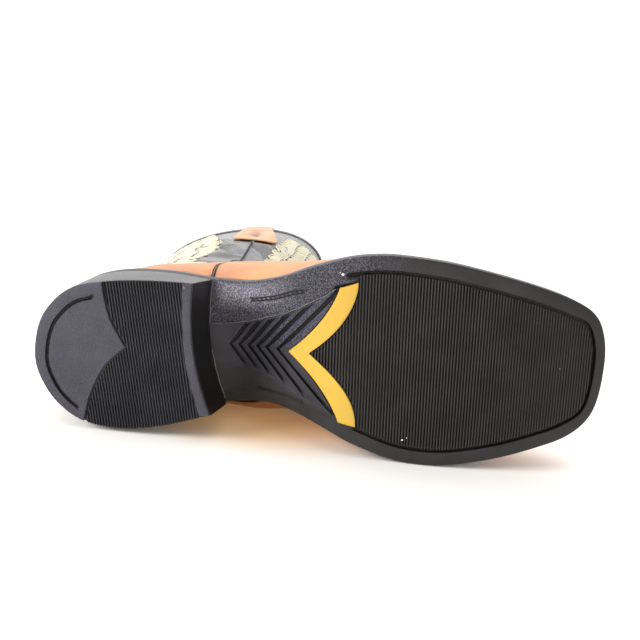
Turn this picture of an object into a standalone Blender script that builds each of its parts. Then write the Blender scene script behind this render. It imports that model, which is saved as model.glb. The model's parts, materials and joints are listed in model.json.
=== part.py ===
# Western boot for the right foot, lying on its inner side.
# The boot is modelled upright in its own frame: x from heel to toe, y to the inner
# (medial) side, z up from the tread. Sizes are millimetres; MM turns them into metres.
# An empty lays the finished boot down on its side.

from collections import namedtuple
from math import cos, pi, sin

import bmesh
import bpy
import numpy as np
from mathutils import Matrix, Vector
from mathutils.bvhtree import BVHTree

MM = 0.001
GAP = 0.3
WELD = 0.001
CURVE_SAMPLES = 24

# Sole
TIP_X = 305.5
TIP_Y = 9.0
BACK_X = 4.0
HEEL_HEIGHT = 31.0
SEAT_END = 98.0
BALL_START = 168.0
BALL_END = 205.0
TOE_SPRING = 14.0
SPRING_POWER = 1.8
SOLE_THICK = 6.0
WELT_THICK = 3.2
WELT_WIDTH = 13.0
EDGE_POINTS = 80
ARCH_SLICES = 12
SPRING_SLICES = 8
LAST_SLICE = 6.0

# Tread
GROOVE_DEPTH = 1.4
CUT_BELOW = -2.0
CHANNEL_INSET = 7.4
CHANNEL_WIDTH = 1.8
CHANNEL_START = 166.0
INLAY_APEX = 135.4
INLAY_WIDTH = 10.8
INLAY_HALF = 37.0
INLAY_Y = 0.8
INLAY_SLOPE = 0.86
INLAY_BEND = 0.0046
INLAY_EASE = 1.3
INLAY_THICK = 2.2
INLAY_PROUD = 0.4
CHEVRON_COUNT = 6
CHEVRON_FIRST = 101.0
CHEVRON_Y = 1.5
CHEVRON_STEP = 5.0
CHEVRON_PITCH = 5.5
CHEVRON_WIDTH = 2.0
CHEVRON_SLOPE = 0.82
CHEVRON_HALF = 12.0
CHEVRON_GROWTH = 3.0

# Heel block
TREAD_BACK_X = 5.5
BREAST_SAG = 5.0
HEEL_SWELL = 0.6
TREAD_LIP = 0.7
HEEL_LIP = 0.3
HEEL_POINTS = 42
BREAST_POINTS = 12
BREAST_CLEAR = 4.0
PAD_APEX = (51.5, -5.0)
PAD_ENDS = ((42.5, -37.0), (27.5, 33.0))
PAD_BOW = 4.0
PAD_GROOVE = 1.3
PAD_POINTS = 7

# Upper
WALL = 2.2
FEATHER_GAP = 0.8
OVERLAY = 1.4
OVERLAY_LIFT = 1.2
BEAD_RADIUS = 1.3
BEAD_POINTS = 16
BEAD_CLEAR = 1.0
BEAD_FOOT_CLEAR = 1.5
BINDING = 1.1
BINDING_SHARE = 0.2
SEAM_MERGE = 0.02
NEAR_CORNER = 0.02
SHORT_EDGE = 0.05
LOW_STEPS = 5
TOP_STEPS = 6
FOOT_STEPS = 28
LEG_STEPS = 11
COLLAR_PEAK = 8.0
COLLAR_FRONT_DIP = 34.0
COLLAR_BACK_DIP = 26.0
COLLAR_FADE = 1.5
COLLAR_CURVE = 1.7
INSOLE_THICK = 4.0

# Pull straps
STRAP_HALF = 18.0
STRAP_THICK = 1.8
STRAP_FOOT = 212.0
STRAP_INSIDE_FOOT = 240.0
STRAP_RISE = 20.0
STRAP_SPAN = 12.0
STRAP_ROOM = 0.5
STRAP_EASE = 30.0
STRAP_FIRST_EASE = 0.45
STRAP_LOOP_CURVE = 0.7
STRAP_BACK_CURVE = 1.5
STRAP_RIM_CLEAR = 1.0
STRAP_BACK_CLEAR = 3.0
STRAP_ROWS = 5
STRAP_OUT_POINTS = 8
STRAP_LOOP_POINTS = 9
STRAP_BACK_POINTS = 6

# Probing the upper from the side
PROBE_FROM = 150.0
PROBE_STEP = 0.5
FACING_SIDE = 0.9

# Half widths of the sole's edge either side of the heel's centre line.
Edge = namedtuple("Edge", "x lateral medial")
SOLE_EDGE = (
    Edge(7.0, 15.0, 14.6),
    Edge(15.0, 27.8, 27.6),
    Edge(28.0, 36.6, 36.4),
    Edge(46.0, 40.0, 40.0),
    Edge(70.0, 38.8, 39.2),
    Edge(92.0, 34.8, 38.0),
    Edge(112.0, 33.0, 37.0),
    Edge(131.0, 36.8, 36.0),
    Edge(150.0, 44.4, 41.4),
    Edge(168.0, 49.2, 50.4),
    Edge(186.0, 50.2, 58.6),
    Edge(204.0, 48.2, 62.8),
    Edge(222.0, 44.8, 63.6),
    Edge(245.0, 38.4, 61.4),
    Edge(267.0, 31.2, 57.2),
    Edge(285.0, 23.8, 52.2),
    Edge(297.0, 16.2, 43.0),
    Edge(303.0, 6.4, 28.6),
)
TREAD_EDGE = (
    Edge(8.0, 15.0, 13.5),
    Edge(15.0, 27.2, 25.0),
    Edge(27.0, 36.2, 34.6),
    Edge(45.0, 39.6, 38.9),
    Edge(65.0, 39.6, 38.5),
    Edge(85.0, 38.2, 35.0),
)
# Corners of the heel's front face (the breast), on the tread and under the sole.
BREAST_TREAD = ((85.2, -38.2), (92.8, 33.0))
BREAST_SEAT = ((93.4, -34.4), (98.0, 37.2))

# How far the upper stands in from the sole's edge along the foot.
Ledge = namedtuple("Ledge", "x inset")
LEDGE = (Ledge(0.0, 2.6), Ledge(92.0, 2.6), Ledge(130.0, 4.0), Ledge(175.0, 6.4), Ledge(305.0, 6.8))

# Sections of the foot, from the toe's edge to the heel's back.
# Each runs from the sole's edge at low_x up to the ridge.
Foot = namedtuple("Foot", "low_x top_x top_y top_z lateral medial swell wide low_round top_round")
FOOT = (
    Foot(292.0, 298.7, 9.5, 22.8, 16.0, 43.5, 0.0, 0.30, 1.35, 2.0),
    Foot(289.5, 298.4, 9.5, 29.0, 18.0, 46.0, 0.0, 0.34, 1.35, 2.3),
    Foot(285.0, 296.0, 9.5, 36.5, 20.0, 48.0, 0.0, 0.36, 1.35, 2.6),
    Foot(278.0, 290.0, 9.5, 43.5, 22.5, 49.5, 0.0, 0.36, 1.35, 2.7),
    Foot(268.0, 279.0, 9.0, 49.0, 26.2, 52.0, 0.2, 0.36, 1.35, 2.6),
    Foot(252.0, 262.0, 8.5, 54.5, 31.5, 55.0, 0.4, 0.35, 1.35, 2.4),
    Foot(232.0, 241.0, 7.5, 61.5, 37.5, 57.5, 0.6, 0.34, 1.35, 2.2),
    Foot(208.0, 217.0, 6.5, 71.5, 42.5, 57.8, 0.6, 0.33, 1.35, 2.1),
    Foot(185.0, 195.0, 5.0, 82.5, 43.6, 54.0, 0.6, 0.34, 1.35, 2.1),
    Foot(162.0, 177.0, 3.8, 93.5, 41.4, 49.5, 0.4, 0.36, 1.35, 2.1),
    Foot(140.0, 162.0, 2.6, 105.0, 38.4, 46.0, 0.4, 0.38, 1.35, 2.1),
    Foot(118.0, 150.0, 1.6, 116.5, 36.2, 42.5, 0.6, 0.39, 1.35, 2.1),
    Foot(96.0, 141.0, 0.8, 128.0, 35.0, 39.0, 1.0, 0.40, 1.35, 2.1),
    Foot(74.0, 134.5, 0.3, 139.5, 34.2, 36.4, 1.6, 0.41, 1.40, 2.1),
    Foot(52.0, 131.0, 0.0, 150.5, 33.6, 34.6, 2.0, 0.42, 1.45, 2.1),
    Foot(32.0, 129.2, 0.0, 160.5, 32.9, 33.3, 2.0, 0.43, 1.60, 2.1),
    Foot(17.0, 128.6, 0.0, 169.5, 32.5, 32.6, 1.6, 0.44, 1.80, 2.1),
)
# Sections of the leg, from the heel's back seam to the shaft's front.
Leg = namedtuple("Leg", "back_x back_z front_x front_z half swell wide back_round front_round")
LEG = (
    Leg(6.6, 41.6, 128.8, 177.5, 32.2, 1.2, 0.45, 2.0, 2.1),
    Leg(3.8, 58.0, 130.2, 187.0, 32.0, 0.8, 0.46, 2.0, 2.1),
    Leg(5.2, 78.0, 132.4, 198.0, 32.0, 0.4, 0.48, 2.0, 2.1),
    Leg(9.4, 99.0, 135.0, 209.5, 32.2, 0.0, 0.50, 2.0, 2.1),
    Leg(13.0, 122.0, 138.0, 222.0, 32.5, 0.0, 0.52, 2.0, 2.1),
    Leg(15.0, 147.0, 141.2, 235.0, 33.0, 0.0, 0.53, 2.0, 2.2),
    Leg(15.4, 175.0, 144.6, 249.0, 33.4, 0.0, 0.54, 2.0, 2.2),
    Leg(15.0, 206.0, 148.0, 263.0, 33.8, 0.0, 0.55, 2.0, 2.2),
    Leg(14.0, 240.0, 151.2, 278.0, 34.0, 0.0, 0.56, 2.0, 2.2),
    Leg(12.8, 272.0, 153.6, 292.0, 33.9, 0.0, 0.56, 2.0, 2.2),
    Leg(11.6, 304.0, 155.0, 306.0, 33.6, 0.0, 0.56, 2.0, 2.2),
)
# The side seam, seen from the side, and the top edges of the two tan panels.
Line = namedtuple("Line", "at to")
SEAM_X = (Line(36.0, 92.5), Line(60.0, 92.0), Line(105.0, 95.0), Line(150.0, 97.0),
          Line(210.0, 98.5), Line(260.0, 98.0), Line(310.0, 96.5))
VAMP_TOP = (Line(80.0, 92.0), Line(98.0, 94.0), Line(112.0, 104.0), Line(122.0, 122.0),
            Line(130.0, 148.0), Line(138.0, 158.0), Line(150.0, 160.0))
COUNTER_TOP = (Line(0.0, 126.0), Line(14.0, 124.0), Line(26.0, 112.0), Line(50.0, 98.0),
               Line(75.0, 92.5), Line(100.0, 92.0))

BLACK_RUBBER = ((0.018, 0.018, 0.021), 0.55)
YELLOW_RUBBER = ((0.90, 0.55, 0.04), 0.45)
TAN_LEATHER = ((0.42, 0.17, 0.055), 0.42)
BLACK_LEATHER = ((0.02, 0.018, 0.018), 0.35)
INSOLE_LEATHER = ((0.50, 0.33, 0.20), 0.7)


def smooth(table, at):
    """A smooth curve through a two-column table, with no overshoot between its rows."""
    knots = np.array([row[0] for row in table])
    values = np.array([row[1:] for row in table])
    step = np.diff(knots)[:, None]
    slope = np.diff(values, axis=0) / step
    product = slope[:-1] * slope[1:]
    total = slope[:-1] + slope[1:]
    inner = np.where(product > 0, 2 * product / np.where(total == 0, 1, total), 0)
    tangent = np.vstack([slope[:1], inner, slope[-1:]])
    place = np.clip(np.atleast_1d(np.asarray(at, float)), knots[0], knots[-1])
    left = np.clip(np.searchsorted(knots, place, side="right") - 1, 0, len(knots) - 2)
    width = step[left]
    t = (place - knots[left])[:, None] / width
    return (
        values[left] * (1 + 2 * t) * (1 - t) ** 2
        + tangent[left] * width * t * (1 - t) ** 2
        + values[left + 1] * t ** 2 * (3 - 2 * t)
        + tangent[left + 1] * width * t ** 2 * (t - 1)
    )


def loop_through(points, count, closed=True):
    """Evenly spaced points on a smooth curve through these points."""
    given = np.array(points, float)
    ring = np.vstack([given[-1:], given, given[:2]]) if closed else np.vstack(
        [2 * given[:1] - given[1:2], given, 2 * given[-1:] - given[-2:-1]])
    dense = []
    for before, start, end, after in zip(ring, ring[1:], ring[2:], ring[3:]):
        for t in np.linspace(0, 1, CURVE_SAMPLES, endpoint=False):
            dense.append(0.5 * (2 * start + (end - before) * t
                                + (2 * before - 5 * start + 4 * end - after) * t ** 2
                                + (3 * start - before - 3 * end + after) * t ** 3))
    dense.append(given[0] if closed else given[-1])
    dense = np.array(dense)
    length = np.concatenate([[0], np.cumsum(np.linalg.norm(np.diff(dense, axis=0), axis=1))])
    wanted = np.linspace(0, length[-1], count, endpoint=not closed)
    return np.column_stack([np.interp(wanted, length, dense[:, axis]) for axis in range(dense.shape[1])])


def edge_loop(rows, back, tip):
    """The points of an edge table, from the back round the outer side and the tip to the inner side."""
    lateral = [(row.x, -row.lateral) for row in rows]
    medial = [(row.x, row.medial) for row in reversed(rows)]
    return [back] + lateral + tip + medial


def inset(loop, distance):
    """A closed loop moved inwards; the loop runs anticlockwise seen from above."""
    along = np.roll(loop, -1, axis=0) - np.roll(loop, 1, axis=0)
    inward = np.column_stack([-along[:, 1], along[:, 0]])
    inward /= np.linalg.norm(inward, axis=1)[:, None]
    return loop + inward * np.reshape(distance, (-1, 1))


def sole_line(x):
    """Height of the sole's underside along the boot."""
    x = np.asarray(x, float)
    arch = 0.5 * HEEL_HEIGHT * (1 + np.cos(pi * np.clip((x - SEAT_END) / (BALL_START - SEAT_END), 0, 1)))
    spring = TOE_SPRING * np.clip((x - BALL_END) / (TIP_X - BALL_END), 0, 1) ** SPRING_POWER
    return arch + spring


SOLE_LOOP = loop_through(edge_loop(SOLE_EDGE, (BACK_X, 0.0), [(TIP_X, TIP_Y)]), EDGE_POINTS)
FEATHER_LIFT = SOLE_THICK + GAP + WELT_THICK + FEATHER_GAP
FEATHER_LOOP = inset(SOLE_LOOP, smooth(LEDGE, SOLE_LOOP[:, 0])[:, 0])


def feather_half(low_x, side):
    """Half width of the upper where it meets the welt; side is -1 outside and 1 inside."""
    tip = np.argmax(FEATHER_LOOP[:, 0])
    half = FEATHER_LOOP[:tip + 1] if side < 0 else np.vstack([FEATHER_LOOP[tip:], FEATHER_LOOP[:1]])[::-1]
    return abs(np.interp(low_x, half[:, 0], half[:, 1]))


def section_table():
    """Every section as one row of numbers, in the order that arc_points reads them."""
    rows = []
    for foot in FOOT:
        low_z = float(sole_line(foot.low_x)) + FEATHER_LIFT
        low = [feather_half(foot.low_x, side) for side in (-1, 1)]
        rows.append((foot.low_x, low_z, foot.top_x, foot.top_y, foot.top_z, *low,
                     foot.lateral, foot.medial, foot.swell, foot.wide, foot.low_round, foot.top_round))
    for leg in LEG:
        rows.append((leg.back_x, leg.back_z, leg.front_x, 0.0, leg.front_z, 0.0, 0.0,
                     leg.half, leg.half, leg.swell, leg.wide, leg.back_round, leg.front_round))
    return [(index, *row) for index, row in enumerate(rows)]


def arc_points(section, side):
    """One side of a section, from its low end through its widest place to the ridge."""
    low_x, low_z, top_x, top_y, top_z, *rest = section
    low_half, half = (rest[0], rest[2]) if side < 0 else (rest[1], rest[3])
    swell, wide, low_round, top_round = rest[4:]
    low_y, wide_y = side * low_half, side * half
    points = []
    for turn in np.linspace(0, pi / 2, LOW_STEPS, endpoint=False):
        rise = wide * (1 - cos(turn) ** (2 / low_round))
        y = low_y + (wide_y - low_y) * sin(turn) ** (2 / low_round)
        points.append((rise, y + side * swell * sin(2 * turn)))
    for turn in np.linspace(0, pi / 2, TOP_STEPS + 1):
        rise = wide + (1 - wide) * sin(turn) ** (2 / top_round)
        points.append((rise, top_y + (wide_y - top_y) * abs(cos(turn)) ** (2 / top_round)))
    return [(low_x + (top_x - low_x) * rise, y, low_z + (top_z - low_z) * rise) for rise, y in points]


def collar_lift(share, height):
    """The scalloped top line: up at the side seams, down at the front and the back."""
    dip = COLLAR_FRONT_DIP if share > 0 else COLLAR_BACK_DIP
    return height ** COLLAR_FADE * (COLLAR_PEAK - (COLLAR_PEAK + dip) * abs(share) ** COLLAR_CURVE)


def skin_grid():
    """Rows of points over the whole upper, from the toe's edge to the collar, inner side first."""
    table = section_table()
    last = len(table) - 1
    rows = []
    foot_places = np.linspace(0, len(FOOT), FOOT_STEPS, endpoint=False)
    leg_places = np.linspace(len(FOOT), last - BINDING_SHARE, LEG_STEPS)
    for place in (*foot_places, *leg_places, last):
        section = smooth(table, place)[0]
        inner = arc_points(section, 1)
        outer = arc_points(section, -1)
        leg_share = max(0.0, place - len(FOOT)) / (last - len(FOOT))
        row = []
        for index, (x, y, z) in enumerate(inner + outer[-2::-1]):
            step = min(index, 2 * (LOW_STEPS + TOP_STEPS) - index)
            share = (step - LOW_STEPS) / (TOP_STEPS if step > LOW_STEPS else LOW_STEPS)
            row.append(Vector((x, y, z + collar_lift(share, leg_share))) * MM)
        rows.append(row)
    return rows


def skin_sheet(offset=0.0):
    """The upper's surface as an open sheet closed up the back seam, moved out, and its rows."""
    sheet = bmesh.new()
    rows = []
    for points in skin_grid():
        row = [sheet.verts.new(point) for point in points[:-1]]
        meets = (points[0] - points[-1]).length < SEAM_MERGE * MM
        rows.append(row + [row[0] if meets else sheet.verts.new(points[-1])])
    for lower, upper in zip(rows, rows[1:]):
        for a, b, c, d in zip(lower, lower[1:], upper[1:], upper):
            sheet.faces.new((a, d, c, b))
    bmesh.ops.triangulate(sheet, faces=sheet.faces, quad_method="FIXED")
    sheet.normal_update()
    for vert, normal in [(vert, vert.normal.copy()) for vert in sheet.verts]:
        vert.co += normal * offset * vert.calc_shell_factor() * MM
    sheet.normal_update()
    return sheet, rows


def trim(sheet, inside):
    """Cuts a sheet along the line where inside(point in mm) is zero and keeps its positive part."""
    value = {vert: inside(vert.co / MM) for vert in sheet.verts}
    for edge in list(sheet.edges):
        start, end = edge.verts
        if value[start] * value[end] < 0:
            share = value[start] / (value[start] - value[end])
            if NEAR_CORNER < share < 1 - NEAR_CORNER:
                _, fresh = bmesh.utils.edge_split(edge, start, share)
                value[fresh] = 0.0
            else:
                value[start if share <= NEAR_CORNER else end] = 0.0
    edge_verts = [vert for vert in sheet.verts if value[vert] == 0.0]
    bmesh.ops.connect_verts(sheet, verts=edge_verts)
    outside = [face for face in sheet.faces if min(value[vert] for vert in face.verts) < 0]
    bmesh.ops.delete(sheet, geom=outside, context="FACES")
    loose = [vert for vert in sheet.verts if not vert.link_faces]
    bmesh.ops.delete(sheet, geom=loose, context="VERTS")
    bmesh.ops.dissolve_degenerate(sheet, edges=sheet.edges, dist=SHORT_EDGE * MM)


def line_at(line, at):
    return float(smooth(line, at)[0, 0])


def over_welt(point):
    """Height over the line just above the welt where the tan panels end."""
    return point.z - float(sole_line(point.x)) - FEATHER_LIFT - OVERLAY_LIFT


def in_vamp(point):
    """Positive on the vamp: ahead of the side seam and under the vamp's top edge."""
    ahead = point.x - line_at(SEAM_X, point.z) - BEAD_RADIUS - GAP
    return min(ahead, line_at(VAMP_TOP, point.x) - point.z, over_welt(point))


def in_counter(point):
    """Positive on the counter: behind the side seam and under the counter's top edge."""
    behind = line_at(SEAM_X, point.z) - BEAD_RADIUS - GAP - point.x
    return min(behind, line_at(COUNTER_TOP, point.x) - point.z, over_welt(point))


def add_object(name, mesh, finish):
    """Puts a mesh in the boot's collection with its own material."""
    colour, roughness = finish
    material = bpy.data.materials.new(name)
    material.use_nodes = True
    shader = material.node_tree.nodes["Principled BSDF"]
    shader.inputs["Base Color"].default_value = (*colour, 1)
    shader.inputs["Roughness"].default_value = roughness
    mesh.materials.clear()
    mesh.materials.append(material)
    piece = bpy.data.objects.new(name, mesh)
    PARTS.objects.link(piece)
    return piece


def mesh_from(name, shape):
    mesh = bpy.data.meshes.new(name)
    shape.to_mesh(mesh)
    shape.free()
    return mesh


def evaluated_mesh(piece):
    """The mesh of an object with its modifiers applied."""
    bpy.context.view_layer.update()
    return bpy.data.meshes.new_from_object(piece.evaluated_get(bpy.context.evaluated_depsgraph_get()))


def shell(name, sheet, thick, offset, finish):
    """A leather piece: an open sheet given its thickness."""
    piece = add_object(name, mesh_from(name, sheet), finish)
    solidify = piece.modifiers.new("thickness", "SOLIDIFY")
    solidify.thickness = thick * MM
    solidify.offset = offset
    solidify.use_even_offset = True
    solidify.use_quality_normals = True
    piece.data.shade_smooth()
    return piece


def flat_plate(name, loops, low, high):
    """A flat plate between two heights; a second loop is its hole."""
    curve = bpy.data.curves.new(name, "CURVE")
    curve.dimensions = "2D"
    curve.fill_mode = "BOTH"
    curve.extrude = (high - low) / 2 * MM
    for loop in loops:
        spline = curve.splines.new("POLY")
        spline.points.add(len(loop) - 1)
        spline.use_cyclic_u = True
        for point, (x, y) in zip(spline.points, loop):
            point.co = (x * MM, y * MM, 0, 1)
    guide = bpy.data.objects.new(name + "_outline", curve)
    CUTTERS.objects.link(guide)
    mesh = evaluated_mesh(guide)
    bpy.data.objects.remove(guide)
    shape = bmesh.new()
    shape.from_mesh(mesh)
    bmesh.ops.remove_doubles(shape, verts=shape.verts, dist=WELD * MM)
    bmesh.ops.translate(shape, verts=shape.verts, vec=(0, 0, (low + high) / 2 * MM))
    bmesh.ops.recalc_face_normals(shape, faces=shape.faces)
    shape.to_mesh(mesh)
    shape.free()
    return mesh


def cut_away(name, mesh, cutter_meshes):
    """A mesh with every cutter taken out of it in one cut."""
    joined = bmesh.new()
    for cutter_mesh in cutter_meshes:
        joined.from_mesh(cutter_mesh)
    cutter = bpy.data.objects.new(name + "_cutter", mesh_from(name + "_cutter", joined))
    cutter.hide_render = True
    cutter.display_type = "WIRE"
    body = bpy.data.objects.new(name + "_blank", mesh)
    for guide in (cutter, body):
        CUTTERS.objects.link(guide)
    boolean = body.modifiers.new("cut", "BOOLEAN")
    boolean.operation = "DIFFERENCE"
    boolean.solver = "EXACT"
    boolean.object = cutter
    result = evaluated_mesh(body)
    bpy.data.objects.remove(body)
    return result


def follow_sole(mesh):
    """Bends a flat plate to the sole's line: sliced across, then raised."""
    shape = bmesh.new()
    shape.from_mesh(mesh)
    bmesh.ops.dissolve_limit(shape, angle_limit=0.01, verts=shape.verts, edges=shape.edges)
    arch = np.linspace(SEAT_END, BALL_START, ARCH_SLICES)
    spring = np.linspace(BALL_END, TIP_X - LAST_SLICE, SPRING_SLICES)
    for x in np.concatenate([arch, spring]):
        whole = shape.verts[:] + shape.edges[:] + shape.faces[:]
        place = (x * MM, 0, 0)
        bmesh.ops.bisect_plane(shape, geom=whole, dist=WELD * MM, plane_co=place, plane_no=(1, 0, 0))
    bmesh.ops.triangulate(shape, faces=shape.faces)
    for vert in shape.verts:
        vert.co.z += float(sole_line(vert.co.x / MM)) * MM
    shape.to_mesh(mesh)
    shape.free()
    return mesh


def chevron(apex, width, half, slope, centre, bend=0.0):
    """The outline of a V band that opens towards the toe."""
    across = np.linspace(-half, half, 2 * max(2, int(half / CHEVRON_STEP)) + 1)
    front = apex + slope * abs(across) - bend * across ** 2
    back = [(x, y + centre) for x, y in zip(front, across)]
    return back + [(x + width, y) for x, y in reversed(back)]


def inlay_band(grow):
    """The V band across the waist of the sole, with its arms bending outwards."""
    ease = INLAY_EASE * grow
    half = INLAY_HALF + grow
    return chevron(INLAY_APEX - ease, INLAY_WIDTH + 2 * ease, half, INLAY_SLOPE, INLAY_Y, INLAY_BEND)


def channel_band():
    """The stitch channel round the forefoot, open behind the V band."""
    ring = inset(SOLE_LOOP, CHANNEL_INSET)
    deep = inset(SOLE_LOOP, CHANNEL_INSET + CHANNEL_WIDTH)
    ahead = [index for index, point in enumerate(ring) if point[0] > CHANNEL_START]
    return [ring[index] for index in ahead] + [deep[index] for index in reversed(ahead)]


def add_outsole():
    blank = flat_plate("outsole", [SOLE_LOOP], 0, SOLE_THICK)
    cutters = [flat_plate("channel", [channel_band()], CUT_BELOW, GROOVE_DEPTH)]
    recess = INLAY_THICK - INLAY_PROUD + GAP
    cutters.append(flat_plate("recess", [inlay_band(GAP)], CUT_BELOW, recess))
    for index in range(CHEVRON_COUNT):
        half = CHEVRON_HALF + CHEVRON_GROWTH * index
        apex = CHEVRON_FIRST + CHEVRON_PITCH * index
        band = chevron(apex, CHEVRON_WIDTH, half, CHEVRON_SLOPE, CHEVRON_Y)
        cutters.append(flat_plate("chevron", [band], CUT_BELOW, GROOVE_DEPTH))
    add_object("outsole", follow_sole(cut_away("outsole", blank, cutters)), BLACK_RUBBER)
    inlay = flat_plate("chevron_inlay", [inlay_band(0)], -INLAY_PROUD, INLAY_THICK - INLAY_PROUD)
    add_object("chevron_inlay", follow_sole(inlay), YELLOW_RUBBER)


def add_welt_and_insole():
    low = SOLE_THICK + GAP
    inner = inset(SOLE_LOOP, WELT_WIDTH)
    welt = flat_plate("welt", [SOLE_LOOP, inner[::-1]], low, low + WELT_THICK)
    add_object("welt", follow_sole(welt), BLACK_RUBBER)
    insole = flat_plate("insole", [inset(SOLE_LOOP, WELT_WIDTH + GAP)], low, low + INSOLE_THICK)
    add_object("insole", follow_sole(insole), INSOLE_LEATHER)


def breast_line(corners, count):
    """The heel's front edge, hollowed towards the heel; from the inner corner to the outer."""
    outer, inner = (np.array(corner) for corner in corners)
    share = np.linspace(0, 1, count)[:, None]
    sag = np.column_stack([-4 * BREAST_SAG * share[:, 0] * (1 - share[:, 0]), np.zeros(count)])
    return inner + (outer - inner) * share + sag


def heel_ring(rows, back_x, corners, lip):
    """One level of the heel block: its sides and back, then its breast."""
    outer, inner = corners
    rows = [row for row in rows if row.x < outer[0] - BREAST_CLEAR]
    lateral = [(row.x, -row.lateral) for row in reversed(rows)]
    medial = [(row.x, row.medial) for row in rows]
    corner_points = [outer] + lateral + [(back_x, 0.0)] + medial + [inner]
    rear = loop_through(corner_points, HEEL_POINTS, closed=False)
    ring = np.vstack([rear[::-1], breast_line(corners, BREAST_POINTS)[::-1][1:-1]])
    return inset(ring, -lip)


def add_heel():
    seat = heel_ring(SOLE_EDGE, BACK_X, BREAST_SEAT, HEEL_LIP)
    tread = heel_ring(TREAD_EDGE, TREAD_BACK_X, BREAST_TREAD, 0.0)
    top = HEEL_HEIGHT - GAP
    levels = ((0.0, TREAD_LIP), (TREAD_LIP, 0.0), (top / 2, HEEL_SWELL), (top, 0.0))
    shape = bmesh.new()
    rings = []
    for height, swell in levels:
        share = height / top
        loop = inset(tread + (seat - tread) * share, -swell)
        rings.append([shape.verts.new(Vector((x, y, height)) * MM) for x, y in loop])
    for lower, upper in zip(rings, rings[1:]):
        for index in range(len(lower)):
            after = (index + 1) % len(lower)
            shape.faces.new((lower[index], lower[after], upper[after], upper[index]))
    shape.faces.new(rings[0])
    shape.faces.new(rings[-1])
    bmesh.ops.triangulate(shape, faces=[face for face in shape.faces if len(face.verts) > 4])
    bmesh.ops.recalc_face_normals(shape, faces=shape.faces)
    groove = flat_plate("pad", [pad_band()], CUT_BELOW, GROOVE_DEPTH)
    mesh = cut_away("heel", mesh_from("heel", shape), [groove])
    add_object("heel", mesh, BLACK_RUBBER)


def pad_band():
    """The bracket-shaped groove that ends the heel's ribs and begins its plain rear pad."""
    apex = np.array(PAD_APEX)
    front = []
    for end in PAD_ENDS:
        share = np.linspace(0, 1, PAD_POINTS)[:, None]
        arm = apex + (np.array(end) - apex) * share
        arm[:, 0] -= 4 * PAD_BOW * share[:, 0] * (1 - share[:, 0])
        front.append(arm)
    line = np.vstack([front[0][::-1], front[1][1:]])
    return [tuple(point) for point in line] + [(x - PAD_GROOVE, y) for x, y in line[::-1]]


def add_upper():
    shell("upper", skin_sheet()[0], WALL, -1, BLACK_LEATHER)
    for name, region in (("vamp", in_vamp), ("heel_counter", in_counter)):
        sheet = skin_sheet(GAP)[0]
        trim(sheet, region)
        shell(name, sheet, OVERLAY, 1, TAN_LEATHER)


def on_side(wall, x, z, side):
    """The upper's outer surface at a place in the side view, and its normal there."""
    place, normal, _, _ = wall.ray_cast(Vector((x, side * PROBE_FROM, z)) * MM, Vector((0, -side, 0)))
    return place / MM, normal


def add_bead(name, wall, side):
    """The raised bead down the side seam, from the pull strap's foot to the welt."""
    low = float(sole_line(SEAM_X[0].to)) + FEATHER_LIFT + BEAD_RADIUS + BEAD_FOOT_CLEAR
    curve = bpy.data.curves.new(name, "CURVE")
    curve.dimensions = "3D"
    curve.bevel_depth = BEAD_RADIUS * MM
    curve.bevel_resolution = 1
    curve.use_fill_caps = True
    heights = np.linspace(low, STRAP_FOOT - BEAD_RADIUS - BEAD_CLEAR, BEAD_POINTS)
    spline = curve.splines.new("POLY")
    spline.points.add(len(heights) - 1)
    for point, z in zip(spline.points, heights):
        place, normal = on_side(wall, line_at(SEAM_X, z), z, side)
        point.co = (*((place + normal * (BEAD_RADIUS + GAP)) * MM), 1)
    guide = bpy.data.objects.new(name + "_line", curve)
    CUTTERS.objects.link(guide)
    mesh = evaluated_mesh(guide)
    bpy.data.objects.remove(guide)
    shape = bmesh.new()
    shape.from_mesh(mesh)
    bmesh.ops.remove_doubles(shape, verts=shape.verts, dist=WELD * MM)
    bmesh.ops.recalc_face_normals(shape, faces=shape.faces)
    shape.to_mesh(mesh)
    shape.free()
    add_object(name, mesh, BLACK_LEATHER)


def add_binding():
    """The folded leather strip over the collar's edge, on the upper's last two rows."""
    sheet, rows = skin_sheet()
    shape = bmesh.new()
    rings = []
    for low, rim in zip(rows[-2][:-1], rows[-1][:-1]):
        up = (rim.co - low.co).normalized() * MM
        low_out = low.normal * low.calc_shell_factor() * MM
        out = rim.normal * rim.calc_shell_factor() * MM
        near, far = GAP, GAP + BINDING
        back, deep = -WALL - GAP, -WALL - GAP - BINDING
        section = (
            low.co + low_out * near,
            low.co + low_out * far,
            rim.co + out * far + up * near,
            rim.co + out * near + up * far,
            rim.co + out * back + up * far,
            rim.co + out * deep + up * near,
            low.co + low_out * deep,
            low.co + low_out * back,
            rim.co + out * back + up * near,
            rim.co + out * near + up * near,
        )
        rings.append([shape.verts.new(point) for point in section])
    against = []
    for here, there in zip(rings, rings[1:] + rings[:1]):
        for index in range(len(here)):
            after = (index + 1) % len(here)
            face = shape.faces.new((here[index], here[after], there[after], there[index]))
            against += [face] if after == 0 else []
    bmesh.ops.triangulate(shape, faces=against, quad_method="ALTERNATE")
    bmesh.ops.triangulate(shape, faces=shape.faces, quad_method="FIXED")
    bmesh.ops.recalc_face_normals(shape, faces=shape.faces)
    sheet.free()
    add_object("collar_binding", mesh_from("collar_binding", shape), BLACK_LEATHER)


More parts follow.
